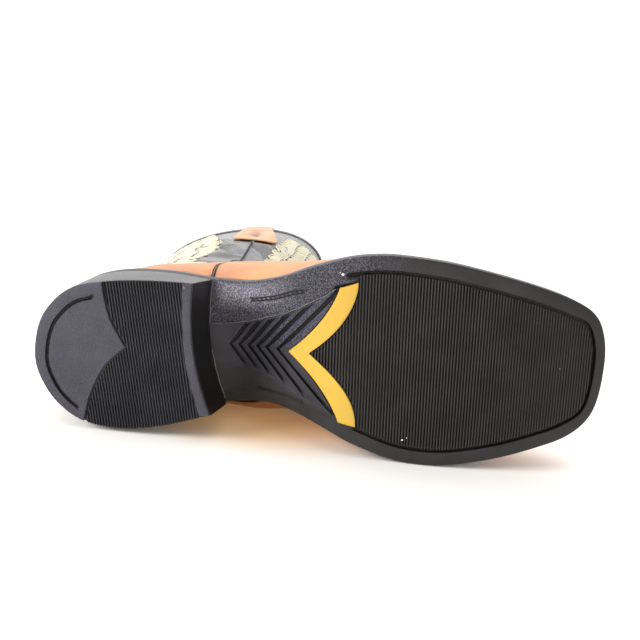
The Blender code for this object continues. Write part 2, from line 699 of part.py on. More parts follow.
def strap_path(wall, x, side):
    """The middle line of a pull strap: up the outside, over the collar and down the inside."""
    flat = GAP + STRAP_THICK / 2
    clear = BINDING + STRAP_ROOM
    out = flat + clear
    back = WALL + flat + clear
    rim_z = collar_height(wall, x, side) - STRAP_RIM_CLEAR
    path = []
    for z in np.linspace(STRAP_FOOT, rim_z, STRAP_OUT_POINTS):
        lift = min(1.0, STRAP_FIRST_EASE + (z - STRAP_FOOT) / STRAP_EASE)
        place, normal = on_side(wall, x, z, side)
        path.append(place + normal * (flat + clear * lift))
    rim, normal = on_side(wall, x, rim_z, side)
    for turn in np.linspace(0, pi, STRAP_LOOP_POINTS)[1:-1]:
        reach = out - (out + STRAP_SPAN) * (1 - cos(turn)) / 2
        rise = STRAP_RISE * sin(turn) ** STRAP_LOOP_CURVE
        path.append(rim + normal * reach + Vector((0, 0, rise)))
    back_top = rim_z + STRAP_RIM_CLEAR - STRAP_BACK_CLEAR
    for z in np.linspace(back_top, STRAP_INSIDE_FOOT, STRAP_BACK_POINTS):
        place, normal = on_side(wall, x, z, side)
        near = (z - STRAP_INSIDE_FOOT) / (back_top - STRAP_INSIDE_FOOT)
        path.append(place - normal * (back + (STRAP_SPAN - back) * near ** STRAP_BACK_CURVE))
    return path


def collar_height(wall, x, side):
    """Height of the collar's edge above a place on the side."""
    z = STRAP_FOOT
    inwards = Vector((0, -side, 0))
    while wall.ray_cast(Vector((x, side * PROBE_FROM, z + PROBE_STEP)) * MM, inwards, PROBE_FROM * MM)[0]:
        z += PROBE_STEP
    return z


def add_strap(name, wall, side):
    middle = line_at(SEAM_X, SEAM_X[-1].at)
    sheet = bmesh.new()
    rows = []
    for across in np.linspace(-STRAP_HALF, STRAP_HALF, STRAP_ROWS):
        path = strap_path(wall, middle + across, side)
        rows.append([sheet.verts.new(point * MM) for point in path])
    for here, there in zip(rows, rows[1:]):
        for a, b, c, d in zip(here, here[1:], there[1:], there):
            sheet.faces.new((a, b, c, d))
    bmesh.ops.recalc_face_normals(sheet, faces=sheet.faces)
    shell(name, sheet, STRAP_THICK, 0, TAN_LEATHER)


def lay_down():
    """Rests the boot on the facet of its hull that faces its inner side and lies under its centre."""
    hull = bmesh.new()
    weight = Vector((0, 0, 0))
    total = 0.0
    for piece in PARTS.objects:
        mesh = evaluated_mesh(piece)
        for vert in mesh.vertices:
            hull.verts.new(vert.co)
        for triangle in mesh.polygons:
            corners = [mesh.vertices[index].co for index in triangle.vertices]
            for second, third in zip(corners[1:], corners[2:]):
                volume = corners[0].dot(second.cross(third)) / 6
                weight += (corners[0] + second + third) / 4 * volume
                total += volume
        bpy.data.meshes.remove(mesh)
    centre = weight / total
    found = bmesh.ops.convex_hull(hull, input=hull.verts)
    facets = [item for item in found["geom"] if isinstance(item, bmesh.types.BMFace)]
    inner_side = [face for face in facets if face.normal.y > FACING_SIDE]
    floor = min(inner_side, key=lambda face: under(face, centre))
    down = floor.normal.copy()
    hull.free()
    turn = down.rotation_difference(Vector((0, 0, -1))).to_matrix().to_4x4()
    heading = turn @ Vector((1, 0, 0))
    turn = Matrix.Rotation(-np.arctan2(heading.y, heading.x), 4, "Z") @ turn
    pose = bpy.data.objects.new("boot_pose", None)
    PARTS.objects.link(pose)
    corners = []
    for piece in PARTS.objects:
        if piece.type == "MESH":
            piece.parent = pose
            mesh = evaluated_mesh(piece)
            corners += [turn @ vert.co for vert in mesh.vertices]
            bpy.data.meshes.remove(mesh)
    box = np.array(corners)
    low, high = box.min(axis=0), box.max(axis=0)
    shift = Vector((-(low[0] + high[0]) / 2, -(low[1] + high[1]) / 2, -low[2]))
    pose.matrix_world = Matrix.Translation(shift) @ turn


def under(face, centre):
    """How far the boot's centre lies outside a facet, seen square to it."""
    worst = -1.0
    for loop in face.loops:
        start = loop.vert.co
        along = loop.link_loop_next.vert.co - start
        worst = max(worst, -along.cross(centre - start).dot(face.normal) / along.length)
    return worst


for old in list(bpy.data.objects):
    bpy.data.objects.remove(old)
PARTS = bpy.data.collections.new("western_boot")
CUTTERS = bpy.data.collections.new("western_boot_cutters")
for collection in (PARTS, CUTTERS):
    bpy.context.scene.collection.children.link(collection)
CUTTERS.hide_render = True

add_outsole()
add_heel()
add_welt_and_insole()
add_upper()
side_wall = BVHTree.FromBMesh(skin_sheet()[0])
add_binding()
for side_name, side_sign in (("lateral", -1), ("medial", 1)):
    add_bead("side_bead_" + side_name, side_wall, side_sign)
    add_strap("pull_strap_" + side_name, side_wall, side_sign)
lay_down()
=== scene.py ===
import json
from math import cos, pi, radians, sin

import bmesh
import bpy
import numpy as np
from mathutils import Matrix, Vector
from mathutils.bvhtree import BVHTree


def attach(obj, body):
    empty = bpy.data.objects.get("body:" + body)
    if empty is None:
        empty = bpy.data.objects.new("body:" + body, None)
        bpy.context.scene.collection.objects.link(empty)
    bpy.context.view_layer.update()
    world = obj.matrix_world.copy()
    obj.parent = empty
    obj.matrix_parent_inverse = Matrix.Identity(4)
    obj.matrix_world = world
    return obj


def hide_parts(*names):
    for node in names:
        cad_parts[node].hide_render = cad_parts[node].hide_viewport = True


# Looks of a right western boot that lies on its inner side.
# Pieces are modelled in the boot's own frame in mm: x heel to toe, y to the inner side, z up from the tread.

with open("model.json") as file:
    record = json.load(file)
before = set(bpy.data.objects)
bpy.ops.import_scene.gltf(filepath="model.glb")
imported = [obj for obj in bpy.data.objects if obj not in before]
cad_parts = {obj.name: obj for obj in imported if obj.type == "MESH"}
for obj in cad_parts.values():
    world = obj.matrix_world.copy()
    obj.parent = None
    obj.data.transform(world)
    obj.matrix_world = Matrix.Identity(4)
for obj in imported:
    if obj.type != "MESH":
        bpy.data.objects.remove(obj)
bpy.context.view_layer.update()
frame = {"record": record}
mm = 0.001
mounts = {mount["name"]: mount for mount in frame["record"]["mounts"]}
treadSpot = Vector((62.0, 8.0, 0.0))  # where the heel's mount lies in the boot's frame


def bootFrame():
    heelAt = Vector(mounts["heel_tread"]["pos_m"])
    alongBoot = (Vector(mounts["forefoot_tread"]["pos_m"]) - heelAt).normalized()
    upBoot = -Vector(mounts["heel_tread"]["axis"])
    innerBoot = upBoot.cross(alongBoot).normalized()
    upBoot = alongBoot.cross(innerBoot)
    turn = Matrix((alongBoot, innerBoot, upBoot)).transposed().to_4x4()
    return Matrix.Translation(heelAt - turn @ treadSpot * mm) @ turn @ Matrix.Scale(mm, 4)


bootToWorld = bootFrame()

soleShape = {
    "tip": (305.5, 9.0),
    "back": (4.0, 0.0),
    "heelHeight": 31.0,
    "seatEnd": 98.0,
    "ballStart": 168.0,
    "ballEnd": 205.0,
    "toeSpring": 14.0,
    "springPower": 1.8,
    "thick": 6.0,
    "gap": 0.3,
    "weltThick": 3.2,
    "weltWidth": 13.0,
    "featherGap": 0.8,
    "insoleThick": 4.0,
    "sideSteps": 190,
    # corners of the heel's front edge under the sole, outer and inner
    "breastSeat": ((93.4, -34.4), (98.0, 37.2)),
    # along the boot, half width to the outer side, half width to the inner side
    "edge": (
        (7.0, 15.0, 14.6), (15.0, 27.8, 27.6), (28.0, 36.6, 36.4), (46.0, 40.0, 40.0),
        (70.0, 38.8, 39.2), (92.0, 34.8, 37.6), (112.0, 33.0, 35.0), (131.0, 36.8, 35.4),
        (150.0, 44.4, 41.2), (168.0, 49.2, 50.4), (186.0, 50.2, 58.6), (204.0, 48.2, 62.8),
        (222.0, 44.8, 63.6), (245.0, 38.4, 61.4), (267.0, 31.2, 57.2), (285.0, 23.8, 52.2),
        (297.0, 16.2, 43.8), (303.0, 6.4, 31.0),
    ),
    # how far the upper stands in from the sole's edge
    "ledge": ((0.0, 2.6), (92.0, 2.6), (130.0, 4.0), (175.0, 6.4), (305.0, 6.8)),
}


def throughTable(rows, at):  # smooth curves through a table's columns, with no overshoot
    table = np.array(rows, float)
    knots = table[:, 0]
    values = table[:, 1:]
    step = np.diff(knots)[:, None]
    slope = np.diff(values, axis=0) / step
    product = slope[:-1] * slope[1:]
    total = slope[:-1] + slope[1:]
    inner = np.where(product > 0, 2 * product / np.where(total == 0, 1, total), 0)
    tangent = np.vstack([slope[:1], inner, slope[-1:]])
    place = np.clip(np.ravel(np.asarray(at, float)), knots[0], knots[-1])
    left = np.clip(np.searchsorted(knots, place, side="right") - 1, 0, len(knots) - 2)
    width = step[left]
    t = (place - knots[left])[:, None] / width
    start = values[left] * (1 + 2 * t) * (1 - t) ** 2 + tangent[left] * width * t * (1 - t) ** 2
    end = values[left + 1] * t ** 2 * (3 - 2 * t) + tangent[left + 1] * width * t ** 2 * (t - 1)
    return start + end


def lineAt(rows, at):  # a two column table read at any place
    return throughTable(rows, at)[:, 0].reshape(np.shape(at))


def softStep(low, high, at):
    t = np.clip((np.asarray(at, float) - low) / (high - low), 0, 1)
    return t * t * (3 - 2 * t)


def throughPoints(points, samples=24, closed=True):  # a dense smooth curve through points
    given = np.array(points, float)
    if closed:
        ring = np.vstack([given[-1:], given, given[:2]])
    else:
        ring = np.vstack([2 * given[:1] - given[1:2], given, 2 * given[-1:] - given[-2:-1]])
    dense = []
    for before, start, end, after in zip(ring, ring[1:], ring[2:], ring[3:]):
        for t in np.linspace(0, 1, samples, endpoint=False):
            linear = 2 * start + (end - before) * t
            square = (2 * before - 5 * start + 4 * end - after) * t ** 2
            cube = (3 * start - before - 3 * end + after) * t ** 3
            dense.append((linear + square + cube) / 2)
    dense.append(given[0] if closed else given[-1])
    return np.array(dense)


def evenly(line, count):  # points at even distances along a line
    length = np.concatenate([[0], np.cumsum(np.linalg.norm(np.diff(line, axis=0), axis=1))])
    wanted = np.linspace(0, length[-1], count)
    return np.column_stack([np.interp(wanted, length, line[:, axis]) for axis in range(line.shape[1])])


def insetLoop(loop, distance):  # a loop that runs anticlockwise, moved inwards
    along = np.roll(loop, -1, axis=0) - np.roll(loop, 1, axis=0)
    inward = np.column_stack([-along[:, 1], along[:, 0]])
    inward /= np.linalg.norm(inward, axis=1)[:, None]
    return loop + inward * np.reshape(distance, (-1, 1))


def soleLine(x):  # height of the sole's underside along the boot
    shape = soleShape
    x = np.asarray(x, float)
    arch = np.clip((x - shape["seatEnd"]) / (shape["ballStart"] - shape["seatEnd"]), 0, 1)
    spring = np.clip((x - shape["ballEnd"]) / (shape["tip"][0] - shape["ballEnd"]), 0, 1)
    lift = 0.5 * shape["heelHeight"] * (1 + np.cos(pi * arch))
    return lift + shape["toeSpring"] * spring ** shape["springPower"]


def soleEdgeLoop():  # from the back round the outer side to the tip, then back on the inner side
    lateral = [(x, -outer) for x, outer, inner in soleShape["edge"]]
    medial = [(x, inner) for x, outer, inner in reversed(soleShape["edge"])]
    dense = throughPoints([soleShape["back"]] + lateral + [soleShape["tip"]] + medial)
    tip = int(np.argmax(dense[:, 0]))
    outerSide = evenly(dense[:tip + 1], soleShape["sideSteps"] + 1)
    innerSide = evenly(dense[tip:], soleShape["sideSteps"] + 1)
    return np.vstack([outerSide[:-1], innerSide[:-1]])


soleLoop = soleEdgeLoop()
featherLoop = insetLoop(soleLoop, lineAt(soleShape["ledge"], soleLoop[:, 0]))
featherLift = soleShape["thick"] + soleShape["gap"] + soleShape["weltThick"] + soleShape["featherGap"]


def halves(loop):  # the outer and the inner side of a loop, each from back to tip
    tip = soleShape["sideSteps"]
    return loop[:tip + 1], np.vstack([loop[tip:], loop[:1]])[::-1]


def overSole(loop, lift):  # a flat loop raised to a height over the sole's line
    return np.column_stack([loop, soleLine(loop[:, 0]) + lift])


# mesh helpers


def startRing(bm, points):
    ring = bmesh.ops.create_circle(bm, segments=len(points), radius=1.0)["verts"]
    for vert, point in zip(ring, points):
        vert.co = point
    return ring


def ringEdges(bm, ring):
    return [bm.edges.get((a, b)) for a, b in zip(ring, ring[1:] + ring[:1])]


def growRing(bm, ring, points):  # extrudes a ring's edges to the next ring
    made = bmesh.ops.extrude_edge_only(bm, edges=ringEdges(bm, ring))["geom"]
    fresh = {item for item in made if isinstance(item, bmesh.types.BMVert)}
    grown = []
    for vert, point in zip(ring, points):
        other = next(edge.other_vert(vert) for edge in vert.link_edges if edge.other_vert(vert) in fresh)
        other.co = point
        grown.append(other)
    return grown


def closeRing(bm, ring):  # fills a long ring with rungs from side to side
    half = len(ring) // 2
    outerSide = ring[1:half]
    innerSide = ring[half + 1:][::-1]
    edges = [bm.edges.get(pair) for side in (outerSide, innerSide) for pair in zip(side, side[1:])]
    bmesh.ops.bridge_loops(bm, edges=edges)
    bmesh.ops.holes_fill(bm, edges=[edge for edge in bm.edges if edge.is_boundary], sides=3)
    return [bm.edges.get(pair) for pair in zip(outerSide, innerSide)]


def joinRings(bm, first, last):
    bmesh.ops.bridge_loops(bm, edges=ringEdges(bm, first) + ringEdges(bm, last))


def gridSheet(bm, place):  # a sheet of quads through a table of points, given back as a table of its vertices
    across, along = place.shape[0] - 1, place.shape[1] - 1
    made = bmesh.ops.create_grid(bm, x_segments=across, y_segments=along, size=1.0)["verts"]
    table = np.empty(place.shape[:2], object)
    for vert in made:
        i = round((vert.co.x + 1) / 2 * across)
        j = round((vert.co.y + 1) / 2 * along)
        vert.co = place[i, j]
        table[i, j] = vert
    return table


def gridSlab(bm, place, deep, paints=()):  # a sheet with sides and a back inside the sole
    sheet = gridSheet(bm, place)
    for layer, paint in paints:
        for vert, amount in zip(sheet.flat, paint.flat):
            vert[layer] = float(amount)
    faces = list({face for vert in sheet.flat for face in vert.link_faces})
    made = bmesh.ops.extrude_face_region(bm, geom=faces, use_keep_orig=True)["geom"]
    backVerts = [item for item in made if isinstance(item, bmesh.types.BMVert)]
    for vert in backVerts:
        vert.co.z = float(soleLine(vert.co.x)) * deep[1] + deep[0]


def tube(bm, path, radius, sides=8, outward=None, flatten=1.0):  # a bead along a path, closed at both ends
    path = np.asarray(path, float)
    along = np.gradient(path, axis=0)
    turns = np.linspace(0, 2 * pi, sides, endpoint=False)
    steep = abs(along[0][2]) > 0.8 * np.linalg.norm(along[0])
    helper = Vector((1.0, 0.0, 0.0)) if steep else Vector((0.0, 0.0, 1.0))
    ring = None
    radii = np.broadcast_to(radius, len(path))
    for index, (point, direction, wide) in enumerate(zip(path, along, radii)):
        forward = Vector(direction).normalized()
        up = helper if outward is None else Vector(outward[index])
        side = up.cross(forward).normalized()
        up = forward.cross(side) * flatten
        loop = [Vector(point) + (side * cos(turn) + up * sin(turn)) * wide for turn in turns]
        if ring is None:
            ring = startRing(bm, loop)
            bmesh.ops.contextual_create(bm, geom=ringEdges(bm, ring))
        else:
            ring = growRing(bm, ring, loop)
    bmesh.ops.contextual_create(bm, geom=ringEdges(bm, ring))


def finishPiece(name, bm, materials, replaced=(), sharp=38, outward=True):
    if outward:
        bmesh.ops.recalc_face_normals(bm, faces=bm.faces)
    bm.transform(bootToWorld)
    mesh = bpy.data.meshes.new(name)
    bm.to_mesh(mesh)
    bm.free()
    return placePiece(name, mesh, materials, replaced, sharp)


def placePiece(name, mesh, materials, replaced=(), sharp=38):
    mesh.shade_smooth()
    mesh.set_sharp_from_angle(angle=radians(sharp))
    for material in materials:
        mesh.materials.append(material)
    piece = bpy.data.objects.new(name, mesh)
    bpy.context.scene.collection.objects.link(piece)
    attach(piece, "root")
    if replaced:
        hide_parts(*replaced)
    return piece


def joinedCopies(template, matrices):  # one mesh of many copies of a small shape
    verts = np.array([vert.co for vert in template.verts])
    faces = np.array([[vert.index for vert in face.verts] for face in template.faces], dtype=object)
    turned = np.einsum("kij,nj->kni", matrices[:, :3, :3], verts) + matrices[:, None, :3, 3]
    mesh = bpy.data.meshes.new("copies")
    joined = [[index + k * len(verts) for index in face] for k in range(len(matrices)) for face in faces]
    mesh.from_pydata(turned.reshape(-1, 3).tolist(), [], joined)
    mesh.transform(bootToWorld)
    mesh.update()
    return mesh


# shader helpers


def newGroup(name, inputs, outputs):
    group = bpy.data.node_groups.new(name, "ShaderNodeTree")
    for label, value in inputs:
        socket = group.interface.new_socket(name=label, in_out="INPUT", socket_type="NodeSocketFloat")
        socket.default_value = value
    for label in outputs:
        group.interface.new_socket(name=label, in_out="OUTPUT", socket_type="NodeSocketFloat")
    return group, group.nodes.new("NodeGroupInput"), group.nodes.new("NodeGroupOutput")


def addNode(tree, kind, settings=(), values=(), links=()):
    node = tree.nodes.new(kind)
    for label, value in dict(settings).items():
        setattr(node, label, value)
    for label, value in dict(values).items():
        node.inputs[label].default_value = value
    for label, socket in dict(links).items():
        tree.links.new(socket, node.inputs[label])
    return node


def mathNode(tree, operation, first, second=0.0, clamp=False):
    node = tree.nodes.new("ShaderNodeMath")
    node.operation = operation
    node.use_clamp = clamp
    for socket, value in zip(node.inputs, (first, second)):
        if isinstance(value, bpy.types.NodeSocket):
            tree.links.new(value, socket)
        else:
            socket.default_value = value
    return node.outputs[0]


def spreadNode(tree, factor, low, high):  # a factor of 0 to 1 spread over a range
    node = mathNode(tree, "MULTIPLY_ADD", factor, high - low).node
    node.inputs[2].default_value = low
    return node.outputs[0]


def rampNode(tree, factor, stops):
    node = tree.nodes.new("ShaderNodeValToRGB")
    tree.links.new(factor, node.inputs[0])
    elements = node.color_ramp.elements
    while len(elements) < len(stops):
        elements.new(0.5)
    for element, (position, colour) in zip(elements, stops):
        element.position = position
        element.color = (*colour, 1) if len(colour) == 3 else colour
    return node.outputs[0]


def mixColour(tree, factor, first, second):
    node = tree.nodes.new("ShaderNodeMix")
    node.data_type = "RGBA"
    for socket, value in zip((node.inputs[0], node.inputs[6], node.inputs[7]), (factor, first, second)):
        if isinstance(value, bpy.types.NodeSocket):
            tree.links.new(value, socket)
        else:
            socket.default_value = (*value, 1) if isinstance(value, tuple) else value
    return node.outputs[2]


def objectPlace(tree):
    return tree.nodes.new("ShaderNodeTexCoord").outputs["Object"]


def noiseNode(tree, place, scale, detail, rough=0.5):
    values = {"Scale": scale, "Detail": detail, "Roughness": rough}
    return addNode(tree, "ShaderNodeTexNoise", values=values, links={"Vector": place}).outputs


def grainGroup():  # leather: rounded cells with fine wrinkles between them
    group, given, out = newGroup("leatherGrain", (("Scale", 900.0), ("Wrinkle", 0.5)), ("Height", "Tone"))
    place = objectPlace(group)
    warp = noiseNode(group, place, 300.0, 2.0)
    shift = addNode(group, "ShaderNodeVectorMath", {"operation": "SCALE"}, {"Scale": 0.0012},
                    {"Vector": warp["Color"]})
    moved = addNode(group, "ShaderNodeVectorMath", {"operation": "ADD"},
                    links={0: place, 1: shift.outputs[0]})
    cells = addNode(group, "ShaderNodeTexVoronoi", {"feature": "DISTANCE_TO_EDGE"},
                    links={"Vector": moved.outputs[0], "Scale": given.outputs["Scale"]})
    dome = mathNode(group, "POWER", mathNode(group, "MULTIPLY", cells.outputs["Distance"], 2.2, True), 0.5)
    fine = noiseNode(group, place, 2600.0, 3.0)
    wrinkle = mathNode(group, "MULTIPLY", fine["Fac"], given.outputs["Wrinkle"])
    group.links.new(mathNode(group, "ADD", dome, wrinkle), out.inputs["Height"])
    group.links.new(noiseNode(group, place, 38.0, 5.0, 0.6)["Fac"], out.inputs["Tone"])
    return group


def rubberGroup():  # rubber: moulded pebbles, fine pits, dull patches and dust
    group, given, out = newGroup("rubberSkin", (("Pebble", 0.0), ("Pits", 1.0)), ("Height", "Tone", "Dust"))
    place = objectPlace(group)
    cells = addNode(group, "ShaderNodeTexVoronoi", {"feature": "SMOOTH_F1"},
                    {"Scale": 1200.0, "Smoothness": 0.15}, {"Vector": place})
    raised = mathNode(group, "SUBTRACT", 0.75, cells.outputs["Distance"])
    pebble = mathNode(group, "MULTIPLY", raised, given.outputs["Pebble"])
    pits = mathNode(group, "MULTIPLY", noiseNode(group, place, 3400.0, 2.0)["Fac"], 0.22)
    rough = mathNode(group, "MULTIPLY", pits, given.outputs["Pits"])
    group.links.new(mathNode(group, "ADD", pebble, rough), out.inputs["Height"])
    group.links.new(noiseNode(group, place, 55.0, 6.0, 0.62)["Fac"], out.inputs["Tone"])
    specks = addNode(group, "ShaderNodeTexVoronoi", values={"Scale": 240.0, "Randomness": 1.0},
                     links={"Vector": place})
    near = mathNode(group, "LESS_THAN", specks.outputs["Distance"], 0.06)
    chance = addNode(group, "ShaderNodeSeparateColor", links={0: specks.outputs["Color"]})
    chosen = mathNode(group, "GREATER_THAN", chance.outputs[0], 0.94)
    group.links.new(mathNode(group, "MULTIPLY", near, chosen), out.inputs["Dust"])
    return group


leatherGrain = grainGroup()
rubberSkin = rubberGroup()


def newMaterial(name, values):
    material = bpy.data.materials.new(name)
    material.use_nodes = True
    shader = material.node_tree.nodes["Principled BSDF"]
    for label, value in values.items():
        shader.inputs[label].default_value = value
    return material, material.node_tree, shader


def useGroup(tree, group, **values):
    node = tree.nodes.new("ShaderNodeGroup")
    node.node_tree = group
    for label, value in values.items():
        if isinstance(value, bpy.types.NodeSocket):
            tree.links.new(value, node.inputs[label])
        else:
            node.inputs[label].default_value = value
    return node.outputs


def addBump(tree, shader, height, strength, distance):
    values = {"Strength": strength, "Distance": distance}
    bump = addNode(tree, "ShaderNodeBump", values=values, links={"Height": height})
    tree.links.new(bump.outputs["Normal"], shader.inputs["Normal"])


def attributeNode(tree, name):
    return addNode(tree, "ShaderNodeAttribute", {"attribute_name": name}).outputs["Fac"]


leatherLooks = {
    "tanLeather": {"dark": (0.42, 0.15, 0.042), "light": (0.61, 0.25, 0.08), "rough": (0.4, 0.55),
                   "scale": 1250.0, "strength": 0.28, "coat": 0.05},
    "blackLeather": {"dark": (0.008, 0.007, 0.008), "light": (0.026, 0.023, 0.025), "rough": (0.2, 0.34),
                     "scale": 950.0, "strength": 0.22, "coat": 0.3},
    "bindingLeather": {"dark": (0.04, 0.04, 0.042), "light": (0.085, 0.085, 0.088), "rough": (0.24, 0.4),
                       "scale": 1300.0, "strength": 0.2, "coat": 0.2},
    "seamLeather": {"dark": (0.003, 0.003, 0.003), "light": (0.008, 0.007, 0.007), "rough": (0.6, 0.75),
                    "scale": 1300.0, "strength": 0.2, "coat": 0.0},
    "strapLeather": {"dark": (0.46, 0.21, 0.095), "light": (0.78, 0.43, 0.24), "rough": (0.4, 0.55),
                     "scale": 1250.0, "strength": 0.28, "coat": 0.05},
    "liningLeather": {"dark": (0.42, 0.27, 0.15), "light": (0.6, 0.42, 0.26), "rough": (0.6, 0.75),
                      "scale": 1500.0, "strength": 0.25, "coat": 0.0},
    "insoleLeather": {"dark": (0.36, 0.21, 0.11), "light": (0.55, 0.36, 0.21), "rough": (0.55, 0.72),
                      "scale": 1400.0, "strength": 0.3, "coat": 0.0},
}


def leatherMaterial(name, darkEdgeAndShadeValue=None):  # the second argument names a vertex value that darkens the colour: along cut edges, and as painted shade on the inner arch and in the strap's fold
    look = leatherLooks[name]
    material, tree, shader = newMaterial(name, {"Coat Weight": look["coat"], "Coat Roughness": 0.22})
    grain = useGroup(tree, leatherGrain, Scale=look["scale"])
    colour = rampNode(tree, grain["Tone"], ((0.3, look["dark"]), (0.68, look["light"])))
    # darker where that vertex value says: along cut edges, and painted shade
    if darkEdgeAndShadeValue:
        dark = tuple(0.35 * value for value in look["dark"])
        colour = mixColour(tree, attributeNode(tree, darkEdgeAndShadeValue), colour, dark)
    tree.links.new(colour, shader.inputs["Base Color"])
    tree.links.new(spreadNode(tree, grain["Tone"], *look["rough"]), shader.inputs["Roughness"])
    addBump(tree, shader, grain["Height"], look["strength"], 0.0003)
    return material


rubberLooks = {
    # glint is the colour of a painted highlight on the grain's tops
    "soleRubber": {"dark": (0.01, 0.0098, 0.0115), "light": (0.022, 0.0212, 0.0235),
                   "glint": (0.12, 0.118, 0.2), "rough": (0.38, 0.55), "specular": 0.35},
    "panelRubber": {"dark": (0.014, 0.014, 0.02), "light": (0.028, 0.028, 0.038),
                    "glint": (0.14, 0.14, 0.27), "rough": (0.38, 0.55), "specular": 0.35},
    "heelRubber": {"dark": (0.03, 0.03, 0.045), "light": (0.05, 0.05, 0.07),
                   "glint": (0.14, 0.14, 0.18), "rough": (0.48, 0.62), "specular": 0.35},
    "ribRubber": {"dark": (0.02, 0.02, 0.021), "light": (0.038, 0.038, 0.04),
                  "glint": (0.1, 0.1, 0.11), "rough": (0.45, 0.62), "specular": 0.28},
    "heelRibRubber": {"dark": (0.018, 0.019, 0.025), "light": (0.036, 0.037, 0.047),
                      "glint": (0.14, 0.14, 0.17), "rough": (0.45, 0.62), "specular": 0.25},
    "edgeRubber": {"dark": (0.024, 0.024, 0.024), "light": (0.045, 0.045, 0.045),
                   "glint": (0.05, 0.05, 0.06), "rough": (0.24, 0.38), "specular": 0.5},
    # paler rubber for the mould lines: a painted highlight
    "flashHighlightRubber": {"dark": (0.09, 0.09, 0.1), "light": (0.2, 0.2, 0.21),
                    "glint": (0.2, 0.2, 0.2), "rough": (0.3, 0.45), "specular": 0.35},
}
# colours mixed in: painted sheen, real dust, and black painted shade
rubberMarks = {"sheen": (0.5, 0.5, 0.62), "dust": (0.5, 0.48, 0.46), "paintedShade": (0.001, 0.001, 0.001)}


def rubberMaterial(name):  # grained, with painted highlights and painted shade where the piece's pebble, sheen and shade values say
    look = rubberLooks[name]
    material, tree, shader = newMaterial(name, {"Specular IOR Level": look["specular"]})
    pebble = attributeNode(tree, "pebble")
    skin = useGroup(tree, rubberSkin, Pebble=pebble)
    colour = rampNode(tree, skin["Tone"], ((0.3, look["dark"]), (0.7, look["light"])))
    tops = addNode(tree, "ShaderNodeMapRange", values={"From Min": 0.3, "From Max": 0.8},
                   links={"Value": skin["Height"]}).outputs[0]
    # painted highlight: the grain's tops are lightened to the glint colour as far as the pebble value reaches
    colour = mixColour(tree, mathNode(tree, "MULTIPLY", pebble, tops, True), colour, look["glint"])
    # painted sheen on the grain's tops, real dust, and black painted shade, as the vertex values say
    onGrainTops = spreadNode(tree, tops, 0.2, 0.85)
    sheen = mathNode(tree, "MULTIPLY", attributeNode(tree, "sheen"), onGrainTops, True)
    paintedShade = mathNode(tree, "MULTIPLY", attributeNode(tree, "paintedShade"), 0.9)
    for mark, amount in (("sheen", sheen), ("dust", skin["Dust"]), ("paintedShade", paintedShade)):
        colour = mixColour(tree, amount, colour, rubberMarks[mark])
    tree.links.new(colour, shader.inputs["Base Color"])
    tree.links.new(spreadNode(tree, skin["Tone"], *look["rough"]), shader.inputs["Roughness"])
    addBump(tree, shader, skin["Height"], 0.8, 0.0006)
    return material


def inlayMaterial():
    material, tree, shader = newMaterial("inlayRubber", {"Specular IOR Level": 0.3})
    skin = useGroup(tree, rubberSkin, Pits=0.5)
    drift = mathNode(tree, "MULTIPLY", skin["Tone"], 0.25)
    warmth = mathNode(tree, "ADD", attributeNode(tree, "warmth"), drift)
    colour = rampNode(tree, warmth, ((0.1, (0.52, 0.345, 0.05)), (1.0, (0.5, 0.315, 0.045))))
    tree.links.new(colour, shader.inputs["Base Color"])
    tree.links.new(spreadNode(tree, skin["Tone"], 0.3, 0.55), shader.inputs["Roughness"])
    addBump(tree, shader, skin["Height"], 0.4, 0.0003)
    return material


def threadMaterial(name, dark, light):  # thread with fine uneven fibres
    material, tree, shader = newMaterial(name, {"Sheen Weight": 0.3, "Sheen Roughness": 0.4})
    noise = noiseNode(tree, objectPlace(tree), 700.0, 3.0)["Fac"]
    tree.links.new(rampNode(tree, noise, ((0.3, dark), (0.7, light))), shader.inputs["Base Color"])
    tree.links.new(spreadNode(tree, noise, 0.4, 0.7), shader.inputs["Roughness"])
    addBump(tree, shader, noise, 0.4, 0.0002)
    return material


def satinMaterial():  # embroidery: rows of satin stitch along each leaf's own uv
    material, tree, shader = newMaterial("creamSatin", {"Sheen Weight": 0.4, "Sheen Roughness": 0.35})
    uv = addNode(tree, "ShaderNodeUVMap", {"uv_map": "thread"})
    rows = addNode(tree, "ShaderNodeTexWave", {"wave_type": "BANDS", "bands_direction": "X"},
                   {"Scale": 1.0, "Distortion": 0.6, "Detail": 2.0}, {"Vector": uv.outputs[0]}).outputs["Fac"]
    noise = noiseNode(tree, objectPlace(tree), 160.0, 4.0)["Fac"]
    tone = mathNode(tree, "MULTIPLY", mathNode(tree, "ADD", rows, noise), 0.5)
    colour = rampNode(tree, tone, ((0.15, (0.5, 0.45, 0.28)), (0.7, (0.8, 0.76, 0.57))))
    tree.links.new(colour, shader.inputs["Base Color"])
    tree.links.new(spreadNode(tree, noise, 0.42, 0.67), shader.inputs["Roughness"])
    addBump(tree, shader, rows, 0.5, 0.0003)
    return material


soleRubber = rubberMaterial("soleRubber")
panelRubber = rubberMaterial("panelRubber")
heelRubber = rubberMaterial("heelRubber")
ribRubber = rubberMaterial("ribRubber")
heelRibRubber = rubberMaterial("heelRibRubber")
edgeRubber = rubberMaterial("edgeRubber")
flashHighlightRubber = rubberMaterial("flashHighlightRubber")
inlayRubber = inlayMaterial()
tanLeather = leatherMaterial("tanLeather", "darkEdgeAndShade")
strapLeather = leatherMaterial("strapLeather", "darkEdgeAndShade")
blackLeather = leatherMaterial("blackLeather")
bindingLeather = leatherMaterial("bindingLeather")
seamLeather = leatherMaterial("seamLeather")
liningLeather = leatherMaterial("liningLeather")
insoleLeather = leatherMaterial("insoleLeather")
creamSatin = satinMaterial()
creamThread = threadMaterial("creamThread", (0.55, 0.48, 0.32), (0.82, 0.76, 0.58))
whiteDust = threadMaterial("whiteDust", (0.7, 0.68, 0.66), (0.85, 0.84, 0.82))
tanThread = threadMaterial("tanThread", (0.34, 0.15, 0.055), (0.55, 0.27, 0.11))
print("finishes made")

# sole

